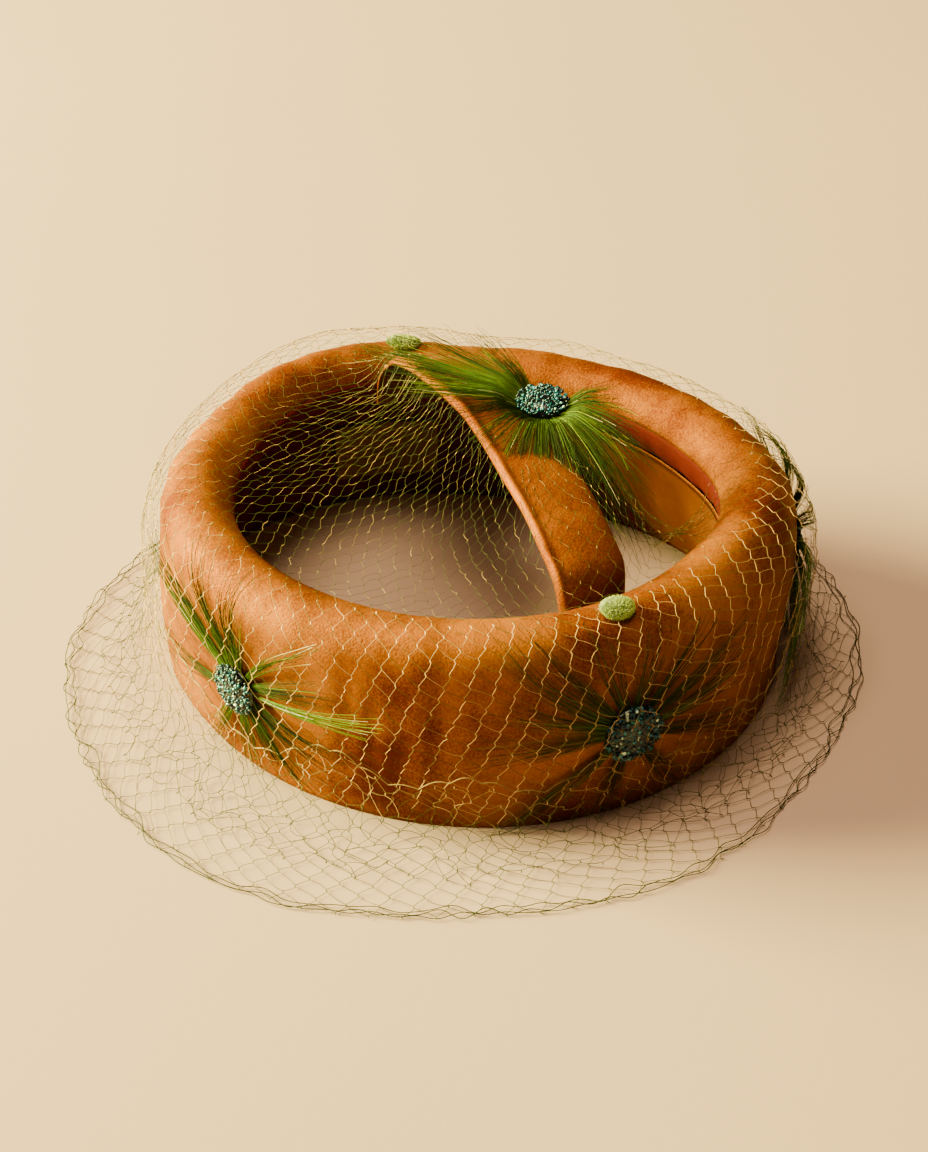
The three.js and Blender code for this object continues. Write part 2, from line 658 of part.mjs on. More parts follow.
// The seat on the strap, measured from above. Locks rise off it and stay over the net.
function strapSeat() {
  const seat = topSeat();
  return (along, up, off) => {
    const reach = Math.hypot(along, up);
    const rise = smoothstep(reach, BACKING_RADIUS, 2 * BUTTON_RADIUS) - (reach / LOCK_LENGTH / 1.2) ** 2;
    const flight = LOCK_FLIGHT * rise;
    return seat.point.clone().add(new THREE.Vector3(along, up, off + flight));
  };
}

// Feather lock: a flat tapering blade from the backing outwards.
function lock(place, turn, length) {
  const start = BACKING_RADIUS * 0.7;
  const steps = 3;
  const rings = [];
  const low = FIT_GAP + FACET_ALLOWANCE;
  for (let i = 0; i <= steps; i += 1) {
    const share = i / steps;
    const far = lerp(start, length, share);
    const wide = LOCK_WIDTH / 2 * (0.4 + 0.6 * Math.sin(Math.PI * clamp(share * 1.15 + 0.12, 0, 1)));
    const [x, y] = [Math.cos(rad(turn)), Math.sin(rad(turn))];
    const off = low + LOCK_THICKNESS * (0.5 + share);
    rings.push([[wide, -LOCK_THICKNESS / 2], [0, LOCK_THICKNESS / 2], [-wide, -LOCK_THICKNESS / 2]].map(
      ([side, rise]) => place(x * far - y * side, y * far + x * side, off + rise)));
  }
  return loft(rings, false);
}

// Round slab lying on a seat.
function slab(place, rings, sides = 10) {
  const outline = rings.map(([radiusU, radiusV, off]) => {
    const ring = [];
    for (let i = 0; i < sides; i += 1) {
      const turn = 2 * Math.PI * i / sides;
      ring.push(place(radiusU * Math.cos(turn), radiusV * Math.sin(turn), off));
    }
    return ring;
  });
  return loft(outline, false);
}

function tuft(place, locks) {
  const low = FIT_GAP + FACET_ALLOWANCE;
  const round = (off) => [BACKING_RADIUS, BACKING_RADIUS, off];
  let solid = toSolid(slab(place, [round(low), round(low + BACKING_THICKNESS)]));
  for (const { turn, length } of locks) solid = solid.add(toSolid(lock(place, turn, LOCK_LENGTH * length)));
  return toGeometry(solid);
}

// Bead button: a low dome just over its tuft.
function button(place, size) {
  const radius = BUTTON_RADIUS * size;
  const low = 4 * FIT_GAP + LOCK_THICKNESS / 2 + BACKING_THICKNESS;
  const rings = [[0.9, 0], [1, 0.3], [0.86, 0.7], [0.5, 1]];
  return slab(place, rings.map(([share, rise]) => [radius * share, radius * share, low + BUTTON_HEIGHT * rise]));
}

// Chenille dot on the roll's crest
function dot(angle, turn) {
  const place = (along, across, off) => {
    const at = angle + THREE.MathUtils.radToDeg(along / (bandRadius(angle) - ROLL_RADIUS));
    const on = rollPoint(at, turn + THREE.MathUtils.radToDeg(across / ROLL_RADIUS), off);
    return bandPoint(at, on.out, on.z);
  };
  const low = FIT_GAP + FACET_ALLOWANCE;
  const rings = [[0.4, 0], [1, 0], [0.7, 1]];
  return slab(place, rings.map(([share, rise]) => [
    share * DOT_LENGTH / 2, share * DOT_WIDTH / 2, low + DOT_HEIGHT * rise]));
}

const hat = new THREE.Group();
function put(name, geometry, finish) {
  const mesh = new THREE.Mesh(geometry, new THREE.MeshStandardMaterial(FINISHES[finish]));
  mesh.name = name;
  hat.add(mesh);
}

put('crown_band', crownBand(), 'satin');
put('lining', lining(), 'lining');
put('label', label(), 'label');
put('side_facing', facing(), 'satin');
put('strap', strap(), 'satin');
put('veil', veil(), 'net');

// Trims on the outer face: height is a share of BAND_HEIGHT up it, size scales the button.
const TRIMS = [
  { side: 'left', angle: 222, height: 0.47, size: 1, locks: LEFT_LOCKS },
  { side: 'right', angle: 301, height: 0.453, size: 1.13, locks: RIGHT_LOCKS },
  { side: 'side', angle: 8, height: 0.516, size: 1, locks: SIDE_LOCKS },
];
for (const { side, angle, height, size, locks } of TRIMS) {
  const place = wallSeat(angle, BAND_HEIGHT * height);
  put(`${side}_tuft`, tuft(place, locks), 'feather');
  put(`${side}_button`, button(place, size), 'beads');
}
put('strap_tuft', tuft(strapSeat(), TOP_LOCKS), 'feather');
put('strap_button', button(strapSeat(), 1), 'beads');

// Chenille dots: turn is how far round the roll each lies, in degrees from its outer side.
const DOTS = [
  { name: 'front_dot', angle: 302, turn: 84 },
  { name: 'rear_dot', angle: 104, turn: 84 },
];
for (const { name, angle, turn } of DOTS) put(name, dot(angle, turn), 'chenille');

// The origin is at the middle of the whole hat, on the surface that it rests on.
const box = new THREE.Box3().setFromObject(hat);
hat.position.set(-(box.min.x + box.max.x) / 2, -(box.min.y + box.max.y) / 2, -box.min.z);
hat.updateMatrixWorld(true);

export default hat;
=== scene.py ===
"""Looks of a cocktail hat: padded satin band, lining, strap, net veil, feather tufts, bead buttons and dots.

Lengths here are in millimetres from the middle of the band. Angles run from +X towards +Y, in degrees.
"""

import math

import bpy
import numpy as np
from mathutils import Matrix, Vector


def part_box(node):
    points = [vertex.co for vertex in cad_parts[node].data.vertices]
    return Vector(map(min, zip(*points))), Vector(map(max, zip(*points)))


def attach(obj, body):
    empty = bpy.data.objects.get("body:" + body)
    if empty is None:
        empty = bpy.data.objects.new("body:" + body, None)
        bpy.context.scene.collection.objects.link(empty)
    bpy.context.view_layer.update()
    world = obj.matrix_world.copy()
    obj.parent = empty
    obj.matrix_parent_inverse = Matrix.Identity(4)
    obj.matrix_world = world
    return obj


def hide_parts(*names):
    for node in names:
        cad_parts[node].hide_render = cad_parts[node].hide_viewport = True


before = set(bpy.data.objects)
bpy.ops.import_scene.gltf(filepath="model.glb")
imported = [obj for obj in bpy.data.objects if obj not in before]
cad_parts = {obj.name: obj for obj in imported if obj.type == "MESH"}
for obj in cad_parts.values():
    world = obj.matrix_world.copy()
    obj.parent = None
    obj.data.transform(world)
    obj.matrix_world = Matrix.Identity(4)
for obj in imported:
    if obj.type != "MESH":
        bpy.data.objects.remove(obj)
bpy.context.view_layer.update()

# Sizes shared with the construction
BAND_RADIUS = 92
BAND_HEIGHT = 64
ROLL_RADIUS = 11
WALL_BULGE = 1
SATIN_WALL = 2.2
LINING_WALL = 1.2
LINING_LIFT = 0.8
FIT_GAP = 0.3
SHEET_LIFT = 0.3  # the label and the crescent clear the lining by this and FIT_GAP
LABEL_WALL = 0.6
FACING_WALL = 1.2
SATIN_TURN = 165  # where the satin ends on the roll, in degrees
STRAP_WIDTH = 24
STRAP_THICKNESS = 3.2
STRAP_RISE = 11
OPENING_RADIUS = BAND_RADIUS - 2 * ROLL_RADIUS
NET_REACH = 36

# Sections every 30 degrees round the band, as shares of the sizes above
BAND = {
    "radius": [1.065, 0.978, 0.913, 0.918, 0.989, 1.054, 1.027, 0.962, 0.95, 0.967, 1.0, 1.039],
    "height": [0.977, 0.969, 0.961, 0.969, 1.0, 1.008, 1.0, 1.0, 0.992, 0.992, 0.992, 0.984],
    "lean": [0.32, 0.41, 0.32, 0.05, 0.09, -0.45, -0.14, 0.18, -0.05, -0.18, -0.18, -0.09],
    "roll": [1.09, 1.045, 0.955, 0.91, 0.91, 0.955, 1.0, 1.0, 1.0, 1.045, 1.045, 1.09],
}
# Net every 30 degrees: its reach over the floor as a share of NET_REACH, and in mm its lift over the roll and
# how far it stands off the wall
NET = {
    "reach": [0.75, 0.85, 0.75, 0.7, 0.6, 0.5, 0.86, 1.15, 1.3, 1.07, 1.0, 0.75],
    "lift": [2.4, 3.4, 3.4, 3.6, 5.0, 3.0, 1.8, 1.2, 0.9, 0.8, 0.9, 1.4],
    "off": [6.5, 7.0, 7.0, 8.0, 9.5, 7.0, 6.0, 5.5, 4.5, 3.5, 4.0, 5.0],
}
# Strap from its front end to its back end. side and along are shares of OPENING_RADIUS, rise of STRAP_RISE,
# width of STRAP_WIDTH and bow of STRAP_THICKNESS. turn is in degrees.
STRAP = {
    "side": [0.526, 0.526, 0.51, 0.463, 0.397, 0.308, 0.234, 0.16, 0.066, -0.013, -0.076, -0.118, -0.125],
    "along": [-0.752, -0.75, -0.703, -0.578, -0.381, -0.158, 0.066, 0.289, 0.499, 0.657, 0.789, 0.854, 0.861],
    "rise": [-1.45, -0.85, -0.08, 0.3, 0.58, 0.82, 0.96, 1.02, 0.98, 0.8, 0.32, -0.4, -1.1],
    "width": [0.96, 0.97, 0.98, 0.98, 0.98, 1, 1.06, 1.16, 1.28, 1.4, 1.52, 1.65, 1.68],
    "turn": [33, 31, 24, 16, 12, 14, 15, 14, 10, 5, 4, 5, 6],
    "bow": [0.42, 0.42, 0.25, 0.15, 0, 0, 0, 0, 0, 0.2, 0.6, 0.95, 1],
}
# Crescent of satin inside the right of the band: how much of the wall it hangs down at each angle
# Its outline follows the lit patch on the inner wall and ends below at the edge of the shadow, so the amber
# panel is partly satin facing and partly painted light.
FACING_ANGLES = [-26, -16, -4, 12, 28, 38, 47, 56, 65]
FACING_HANGS = [0.12, 0.55, 0.86, 0.94, 0.95, 0.92, 0.68, 0.4, 0.1]
FACING_TURN = 215  # where its top edge lies on the roll, in degrees


def spread(values, at):
    """Smooth curve through values at equal steps, read at from 0 to 1, flat past its ends."""
    values = np.asarray(values, float)
    x = np.clip(at, 0, 1) * (len(values) - 1)
    i = np.minimum(np.floor(x).astype(int), len(values) - 2)
    return catmull(values, i, x - i, lambda k: np.clip(k, 0, len(values) - 1))


def around(values, angle):
    """Smooth closed curve through values at equal steps round the hat."""
    values = np.asarray(values, float)
    x = np.mod(angle, 360) / 360 * len(values)
    i = np.floor(x).astype(int)
    return catmull(values, i, x - i, lambda k: np.mod(k, len(values)))


def catmull(values, i, t, wrap):
    a, b, c, d = (values[wrap(i + k)] for k in (-1, 0, 1, 2))
    return 0.5 * (2 * b + (c - a) * t + (2 * a - 5 * b + 4 * c - d) * t**2 + (3 * b - a - 3 * c + d) * t**3)


def smooth(x, low, high):
    t = np.clip((np.asarray(x, float) - low) / (high - low), 0, 1)
    return t * t * (3 - 2 * t)


def lerp(a, b, t):
    return a + (b - a) * t


def unit(v):
    return v / np.maximum(np.linalg.norm(v, axis=-1, keepdims=True), 1e-9)


def stack(*parts):
    return np.stack(np.broadcast_arrays(*parts), axis=-1)


def band_edge(angle):
    radius = BAND_RADIUS * around(BAND["radius"], angle)
    turn = np.radians(angle)
    return stack(radius * np.cos(turn), radius * np.sin(turn))


def band_point(angle, out, z):
    """Point of the band's frame: out is the distance out from the lower edge, z the height."""
    angle = np.asarray(angle, float)
    foot = band_edge(angle)
    tangent = unit(band_edge(angle + 1) - band_edge(angle - 1))
    return stack(foot[..., 0] + tangent[..., 1] * out, foot[..., 1] - tangent[..., 0] * out, z)


def band_height(angle):
    return BAND_HEIGHT * around(BAND["height"], angle)


def roll_radius(angle):
    return ROLL_RADIUS * around(BAND["roll"], angle)


def roll_lean(angle):
    return ROLL_RADIUS * around(BAND["lean"], angle)


def wall_out(angle, z):
    rise = np.clip(z / (band_height(angle) - roll_radius(angle)), 0, 1)
    return roll_lean(angle) * (1 - np.cos(np.pi * rise)) / 2 + WALL_BULGE * np.sin(np.pi * rise)


def roll_point(angle, turn, offset=0.0):
    """(out, z) on the roll, turn degrees from its outer side, off its surface by offset."""
    radius = roll_radius(angle)
    reach = radius + offset
    turn = np.radians(turn)
    out = roll_lean(angle) - radius + reach * np.cos(turn)
    z = band_height(angle) - radius + reach * np.sin(turn)
    return out, z


def waves(u, v, seed, turns, climb):
    """Uneven smooth field of about unit size. u is an angle in degrees, v a height in mm.

    turns is the range of waves round the hat, climb the steepest slope in radians per mm."""
    rng = np.random.default_rng(seed)
    count = 12
    total = 0
    for _ in range(count):
        whole = rng.integers(turns[0], turns[1] + 1)
        slope = rng.uniform(-climb, climb)
        total = total + np.sin(whole * np.radians(u) + slope * v + rng.uniform(0, 2 * math.pi))
    return total / math.sqrt(count / 2)


# Building meshes


def shift_of_ring():
    """Where the band's middle is in the row frame, from the band's box."""
    angle = np.linspace(0, 360, 721)
    out = np.maximum(roll_lean(angle), 0)
    belly = 26  # height at which the wall bulges most
    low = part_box("crown_band")[0]
    points = np.concatenate([band_point(angle, out, 0), band_point(angle, wall_out(angle, belly), belly)])
    return np.array([low.x * 1000 - points[:, 0].min(), low.y * 1000 - points[:, 1].min(), 0])


SHIFT = shift_of_ring()


def add_mesh(name, points, faces, material, shade=None, second=None):
    """One piece from points in mm and faces of equal numbers of corners.

    shade is a value for each point, second another material and which faces have it."""
    points = (np.asarray(points, float).reshape(-1, 3) + SHIFT) / 1000
    faces = np.asarray(faces, np.int32)
    mesh = bpy.data.meshes.new(name)
    mesh.vertices.add(len(points))
    mesh.vertices.foreach_set("co", points.astype(np.float32).ravel())
    mesh.loops.add(faces.size)
    mesh.loops.foreach_set("vertex_index", faces.ravel())
    mesh.polygons.add(len(faces))
    mesh.polygons.foreach_set("loop_start", np.arange(0, faces.size, faces.shape[1], dtype=np.int32))
    mesh.polygons.foreach_set("use_smooth", np.ones(len(faces), bool))
    if shade is not None:
        stored = mesh.attributes.new("shade", "FLOAT", "POINT")
        stored.data.foreach_set("value", shade.astype(np.float32))
    mesh.materials.append(material)
    if second is not None:
        mesh.materials.append(second[0])
        mesh.polygons.foreach_set("material_index", second[1].astype(np.int32))
    mesh.update(calc_edges=True)
    mesh.validate()
    obj = bpy.data.objects.new(name, mesh)
    bpy.context.scene.collection.objects.link(obj)
    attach(obj, "root")
    return obj


def grid_faces(rows, columns, close_rows=False, close_columns=False):
    """Faces between neighbours in a grid of points, which may close on itself either way."""
    r = np.arange(rows if close_rows else rows - 1)[:, None]
    c = np.arange(columns if close_columns else columns - 1)[None, :]
    r2, c2 = (r + 1) % rows, (c + 1) % columns
    corners = [r * columns + c, r2 * columns + c, r2 * columns + c2, r * columns + c2]
    return np.stack(np.broadcast_arrays(*corners), axis=-1).reshape(-1, 4)


TUBE_SIDES = 3
FLOOR_GAP = 0.02


def tubes(paths, radius):
    """Points and faces of thin tubes along paths, an array of path, point and x y z, none under the floor."""
    count, length, _ = paths.shape
    forward = unit(np.gradient(paths, axis=1))
    helper = np.where(np.abs(forward[..., 2:3]) > 0.9, np.array([1.0, 0, 0]), np.array([0, 0, 1.0]))
    side = unit(np.cross(forward, helper))
    up = np.cross(side, forward)
    turn = np.arange(TUBE_SIDES) * 2 * math.pi / TUBE_SIDES
    ring = np.cos(turn)[:, None] * side[:, :, None, :] + np.sin(turn)[:, None] * up[:, :, None, :]
    radius = np.broadcast_to(radius, (count, length))[:, :, None, None]
    points = (paths[:, :, None, :] + radius * ring).reshape(-1, 3)
    points[:, 2] = np.maximum(points[:, 2], FLOOR_GAP)
    one = grid_faces(length, TUBE_SIDES, close_columns=True)
    faces = (np.arange(count)[:, None, None] * length * TUBE_SIDES + one[None]).reshape(-1, 4)
    return points, faces


def joined(parts):
    """Points, faces and shades of several parts as one. Each part is its points, faces and shades."""
    points, faces, shades = zip(*parts)
    starts = np.cumsum([0] + [len(p) for p in points[:-1]])
    faces = [f + start for f, start in zip(faces, starts)]
    return np.concatenate(points), np.concatenate(faces), np.concatenate(shades)


# Materials


def new_material(name):
    material = bpy.data.materials.new(name)
    material.use_nodes = True
    tree = material.node_tree
    shader = tree.nodes["Principled BSDF"]
    return material, tree, shader


def linear(rgb):
    """Scene colour from a colour as seen, each part from 0 to 255."""
    parts = [c / 255 for c in rgb]
    return [c / 12.92 if c <= 0.04045 else ((c + 0.055) / 1.055) ** 2.4 for c in parts] + [1]


def set_inputs(node, values):
    for name, value in values.items():
        node.inputs[name].default_value = value


def noise(tree, scale, detail, rough=0.55):
    where = tree.nodes.new("ShaderNodeTexCoord")
    texture = tree.nodes.new("ShaderNodeTexNoise")
    set_inputs(texture, {"Scale": scale, "Detail": detail, "Roughness": rough})
    tree.links.new(where.outputs["Object"], texture.inputs["Vector"])
    return texture.outputs["Fac"]


def ramp(tree, factor, stops):
    colours = tree.nodes.new("ShaderNodeValToRGB")
    while len(colours.color_ramp.elements) < len(stops):
        colours.color_ramp.elements.new(0.5)
    for element, (place, rgb) in zip(colours.color_ramp.elements, stops):
        element.position = place
        element.color = linear(rgb)
    tree.links.new(factor, colours.inputs["Fac"])
    return colours.outputs["Color"]


def bump(tree, height, strength, distance, below=None):
    node = tree.nodes.new("ShaderNodeBump")
    set_inputs(node, {"Strength": strength, "Distance": distance})
    tree.links.new(height, node.inputs["Height"])
    if below is not None:
        tree.links.new(below, node.inputs["Normal"])
    return node.outputs["Normal"]


GRAIN_SHARE = 0.35  # how much the fine grain sways the shade, next to the soft patches


def cloth(name, dark, light, roughness, grain, sheen=0.0, metallic=0.0, weave=0.15, gloss=0.5):
    """Woven cloth: two shades in soft patches, a fine grain and a sheen."""
    material, tree, shader = new_material(name)
    mottled = tree.nodes.new("ShaderNodeMath")
    mottled.operation = "MULTIPLY_ADD"
    mottled.inputs[1].default_value = GRAIN_SHARE
    tree.links.new(noise(tree, grain, 2), mottled.inputs[0])
    tree.links.new(noise(tree, 24, 6, rough=0.6), mottled.inputs[2])
    stops = [(0.36 + GRAIN_SHARE / 2, dark), (0.62 + GRAIN_SHARE / 2, light)]
    tree.links.new(ramp(tree, mottled.outputs["Value"], stops), shader.inputs["Base Color"])
    set_inputs(shader, {
        "Roughness": roughness,
        "Metallic": metallic,
        "Specular IOR Level": gloss,
        "Specular Tint": (1.0, 0.85, 0.25, 1),
        "Sheen Weight": sheen,
        "Sheen Roughness": 0.4,
        "Sheen Tint": linear(light),
    })
    soft = bump(tree, noise(tree, 160, 3), 0.12, 0.0006)
    tree.links.new(bump(tree, noise(tree, grain, 2), weave, 0.0002, soft), shader.inputs["Normal"])
    return material


def strands(name, stops, values):
    """Threads, barbs or beads, coloured by the shade that each point holds."""
    material, tree, shader = new_material(name)
    shade = tree.nodes.new("ShaderNodeAttribute")
    shade.attribute_name = "shade"
    tree.links.new(ramp(tree, shade.outputs["Fac"], stops), shader.inputs["Base Color"])
    set_inputs(shader, values)
    return material


SATIN = cloth("satin", (84, 28, 1), (148, 84, 1), roughness=0.6, grain=1500,
              metallic=0.32, weave=1.0, gloss=0.08)
STRAP_SATIN = cloth("strap satin", (94, 38, 1), (138, 76, 1), roughness=0.58, grain=1500,
                    metallic=0.34, weave=1.0, gloss=0.08)
# Amber of the crescent: partly the facing's own satin, partly painted light where light falls on the inner
# wall.
CRESCENT_WITH_PAINTED_LIGHT = cloth("crescent satin with painted light", (102, 47, 2), (128, 68, 3), roughness=0.56, grain=1900,
                 metallic=0.4, weave=0.4, gloss=0.15)
UNDERSIDE = cloth("strap underside", (70, 28, 2), (84, 36, 3), roughness=0.6, grain=1900, sheen=0.1)
LINING = cloth("lining", (74, 16, 14), (98, 24, 20), roughness=0.8, grain=1500, sheen=0.05, gloss=0.1)
LABEL = cloth("label", (106, 88, 50), (124, 104, 62), roughness=0.85, grain=1200, sheen=0.1, gloss=0.2)

NET_SHADES = [(0.0, (10, 26, 1)), (0.5, (60, 70, 14)), (1.0, (206, 164, 108))]
NET_THREAD = strands("net thread", NET_SHADES, {"Roughness": 0.6, "Specular IOR Level": 0.2})

FEATHER_SHADES = [
    (0.0, (10, 20, 1)),
    (0.25, (26, 46, 1)),
    (0.5, (58, 76, 1)),
    (0.75, (80, 120, 1)),
    (0.9, (132, 138, 16)),
    (1.0, (196, 190, 150)),
]
FEATHER = strands("feather barbs", FEATHER_SHADES, {"Roughness": 0.65, "Specular IOR Level": 0.12})

BEAD_SHADES = [
    (0.0, (2, 14, 20)),
    (0.4, (2, 50, 60)),
    (0.62, (2, 98, 108)),
    (0.78, (20, 68, 108)),
    (0.9, (60, 146, 150)),
    (1.0, (176, 204, 192)),
]
BEADS = strands("beads and sequins", BEAD_SHADES, {"Roughness": 0.3, "Metallic": 0.55, "Coat Weight": 0.4})

CHENILLE_SHADES = [(0.0, (70, 96, 2)), (0.5, (132, 156, 4)), (1.0, (192, 204, 40))]
CHENILLE = strands("chenille", CHENILLE_SHADES, {"Roughness": 0.9, "Sheen Weight": 0.6})


# Band and lining


def inner_face(angle, offset, lift):
    """Rows of (out, z) down the inside of the satin, from the seam on the roll to the lower edge."""
    rebate = LINING_WALL + FIT_GAP
    last_turn, roll_rows, wall_rows = 255, 14, 12
    rows = []
    for turn in np.linspace(SATIN_TURN, last_turn, roll_rows):
        rows.append(roll_point(angle, turn, offset - rebate))
    top = roll_point(angle, 270, -rebate)[1] - 1
    for share in np.linspace(1, 0, wall_rows):
        z = top * share
        height = np.maximum(z - offset if share == 1 else z, lift)
        rows.append((wall_out(angle, z) - SATIN_WALL - offset, height))
    return rows


# Dents in the satin: angle, width in degrees, length up the face, height, and depth, below 0 for a bulge
DENTS = [
    (196, 8, 42, 5, 1.7),
    (188, 7, 52, 6, -0.6),
    (206, 9, 30, 8, 0.8),
    (247, 2.2, 36, 14, 0.7),
    (252, 2.0, 30, 16, 0.9),
    (258, 2.6, 26, 12, 0.8),
    (265, 1.8, 34, 15, 0.6),
    (278, 3, 22, 14, 0.6),
    (338, 3, 20, 14, 0.8),
    (352, 4, 12, 12, 1.4),
    (20, 4, 30, 18, 0.8),
    (80, 5, 30, 18, 0.8),
    (130, 4, 34, 18, 0.9),
    (165, 4, 36, 18, 0.8),
]


def puckers(angle, length):
    """How far the satin stands off its plain form: soft upright folds, slack drags and a few dents."""
    upright = 0.16 * waves(angle, length, 11, (14, 40), 0.02)
    drags = 0.24 * waves(angle, length, 12, (4, 16), 0.09)
    dents = 0
    for at, width, where, tall, deep in DENTS:
        turn = np.mod(angle - at + 180, 360) - 180
        dents = dents - deep * np.exp(-((turn / width) ** 2) - ((length - where) / tall) ** 2)
    return upright + drags + dents


def outer_face(angle):
    """Rows of (out, z, turn) up the plain wall and over the roll to the seam."""
    wall_rows, roll_rows = 30, 34
    widest = band_height(angle) - roll_radius(angle)
    rows = []
    for share in np.linspace(0, 1, wall_rows, endpoint=False):
        z = widest * share
        rows.append((wall_out(angle, z), z, 0.0))
    for turn in np.linspace(0, SATIN_TURN, roll_rows):
        out, z = roll_point(angle, turn)
        rows.append((out, z, turn))
    return rows


def crown():
    columns = 720
    angle = np.linspace(0, 360, columns, endpoint=False)
    rows = outer_face(angle)
    points = []
    length = 0
    for i, (out, z, turn) in enumerate(rows):
        if i:
            length = length + np.hypot(out - rows[i - 1][0], z - rows[i - 1][1])
        fade = smooth(z, 0, 6) * (1 - smooth(turn, 100, 150)) * lerp(1, 0.6, smooth(turn, 0, 60))
        push = puckers(angle, length) * fade
        turned = np.radians(turn)
        points.append(band_point(angle, out + push * math.cos(turned), z + push * math.sin(turned)))
    for out, z in inner_face(angle, 0, 0):
        points.append(band_point(angle, out, z))
    points = np.array(points)
    faces = grid_faces(len(points), points.shape[1], close_rows=True, close_columns=True)
    obj = add_mesh("crown_satin", points, faces, SATIN)
    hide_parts("crown_band")


def lining():
    columns = 480
    angle = np.linspace(0, 360, columns, endpoint=False)
    rows = []
    for offset, order in ((FIT_GAP, 1), (FIT_GAP + LINING_WALL, -1)):
        side = inner_face(angle, offset, LINING_LIFT)[::order]
        pleats = 0.0 if order == 1 else 0.22 * waves(angle, 0, 21, (30, 70), 0.0)
        for k, (out, z) in enumerate(side):
            fade = math.sin(math.pi * k / (len(side) - 1))
            rows.append(band_point(angle, out - pleats * fade, z))
    points = np.array(rows)
    faces = grid_faces(len(points), points.shape[1], close_rows=True, close_columns=True)
    obj = add_mesh("lining_cloth", points, faces, LINING)
    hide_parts("lining")


def lined_out(angle, z):
    """How far out a patch lies that just clears the lining."""
    return wall_out(angle, z) - SATIN_WALL - 2 * FIT_GAP - LINING_WALL - SHEET_LIFT


def label():
    middle, low, height, width = 108, 10, 20, 36
    rows, columns = 41, 25
    half = math.degrees(width / 2 / (BAND_RADIUS * float(around(BAND["radius"], middle))))
    u = np.linspace(-1, 1, rows)[:, None]
    v = np.linspace(0, 1, columns)[None, :]
    angle = middle - half * u
    z = low + height * v
    sag = 0.25 * np.cos(2 * math.pi * u) * np.sin(math.pi * v)
    inner = lined_out(angle, z)
    face = band_point(angle, inner - LABEL_WALL - sag, z).reshape(-1, 3)
    back = band_point(angle, inner - sag, z).reshape(-1, 3)
    one = grid_faces(rows, columns)
    faces = np.concatenate([one, one[:, ::-1] + rows * columns, rim_faces(rows, columns)])
    obj = add_mesh("label_patch", np.concatenate([face, back]), faces, LABEL)
    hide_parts("label")


def rim_faces(rows, columns):
    """Faces that join the edges of two equal grids, the second numbered after the first."""
    first = np.arange(columns)
    right = np.arange(1, rows) * columns + columns - 1
    last = (rows - 1) * columns + np.arange(columns - 2, -1, -1)
    left = np.arange(rows - 2, 0, -1) * columns
    rim = np.concatenate([first, right, last, left])
    after = np.roll(rim, -1)
    size = rows * columns
    return np.stack([rim, after, after + size, rim + size], axis=-1)


def facing():
    steps, drops = 120, 36
    angle = np.linspace(FACING_ANGLES[0], FACING_ANGLES[-1], steps)[:, None]
    rows = np.interp(angle, FACING_ANGLES, np.arange(len(FACING_ANGLES)))
    hang = spread(FACING_HANGS, rows / (len(FACING_ANGLES) - 1))
    top = roll_point(angle, FACING_TURN, FIT_GAP + SHEET_LIFT)
    lowest = LINING_LIFT + 1
    bottom = lerp(top[0], lined_out(angle, lowest), hang), lerp(top[1], lowest, hang)
    share = np.linspace(0, 1, drops)[None, :]
    run = np.hypot(bottom[0] - top[0], bottom[1] - top[1])
    inward = (bottom[1] - top[1]) / run, -(bottom[0] - top[0]) / run
    folds = 0.3 * waves(angle, share * 30, 31, (8, 30), 0.05)
    sheets = []
    for depth in (0.0, FACING_WALL):
        shift = depth + (2.2 * hang + folds * (depth > 0)) * np.sin(math.pi * share)
        out = lerp(top[0], bottom[0], share) + inward[0] * shift
        z = lerp(top[1], bottom[1], share) + inward[1] * shift
        sheets.append(band_point(angle, out, z).reshape(-1, 3))
    one = grid_faces(steps, drops)
    faces = np.concatenate([one[:, ::-1], one + steps * drops, rim_faces(steps, drops)])
    obj = add_mesh("facing_satin_with_painted_light", np.concatenate(sheets), faces, CRESCENT_WITH_PAINTED_LIGHT)
    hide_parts("side_facing")


# Strap


def strap_middle(share):
    side, along, rise = (spread(STRAP[name], share) for name in ("side", "along", "rise"))
    return stack(OPENING_RADIUS * side, OPENING_RADIUS * along, BAND_HEIGHT + STRAP_RISE * rise)


def strap_frame(share):
    share = np.asarray(share, float)
    middle = strap_middle(share)
    ahead, behind = strap_middle(np.clip(share + 0.02, 0, 1)), strap_middle(np.clip(share - 0.02, 0, 1))
    forward = unit(ahead - behind)
    turn = np.radians(spread(STRAP["turn"], share))
    across = stack(np.cos(turn), np.sin(turn), 0 * turn)
    across = unit(across - forward * np.sum(across * forward, axis=-1, keepdims=True))
    up = unit(np.cross(across, forward))
    half = STRAP_WIDTH / 2 * spread(STRAP["width"], share)
    return middle, forward, across, up, half, STRAP_THICKNESS * spread(STRAP["bow"], share)


def strap_section(sides):
    """Points round a section: x to the side, as a share of half the width, lift from -1 to 1, and height."""
    turn = np.linspace(0, 2 * math.pi, sides, endpoint=False)
    x = np.sign(np.cos(turn)) * np.abs(np.cos(turn)) ** 0.42
    lift = np.sign(np.sin(turn)) * np.abs(np.sin(turn)) ** 0.8
    rolled = 1 + 1.1 * np.exp(-((x + 0.9) / 0.13) ** 2) * (lift > 0)
    return x, lift, STRAP_THICKNESS / 2 * lift * rolled * 0.85


def strap_form(share, x, top):
    """How far the strap leaves its plain sections: folds that fan out at the rear, with slack, and a bank."""
    fan = smooth(share, 0.68, 0.9) * np.cos(9 * x + 1.2) * 0.5
    slack = 0.18 * waves(share * 360, x * 10, 41, (3, 12), 0.25)
    banked = 0.9 * (1 - x**2) - 1.1 * x
    return (fan + slack) * top * (1 - x**4), banked * np.sin(math.pi * share) ** 0.5


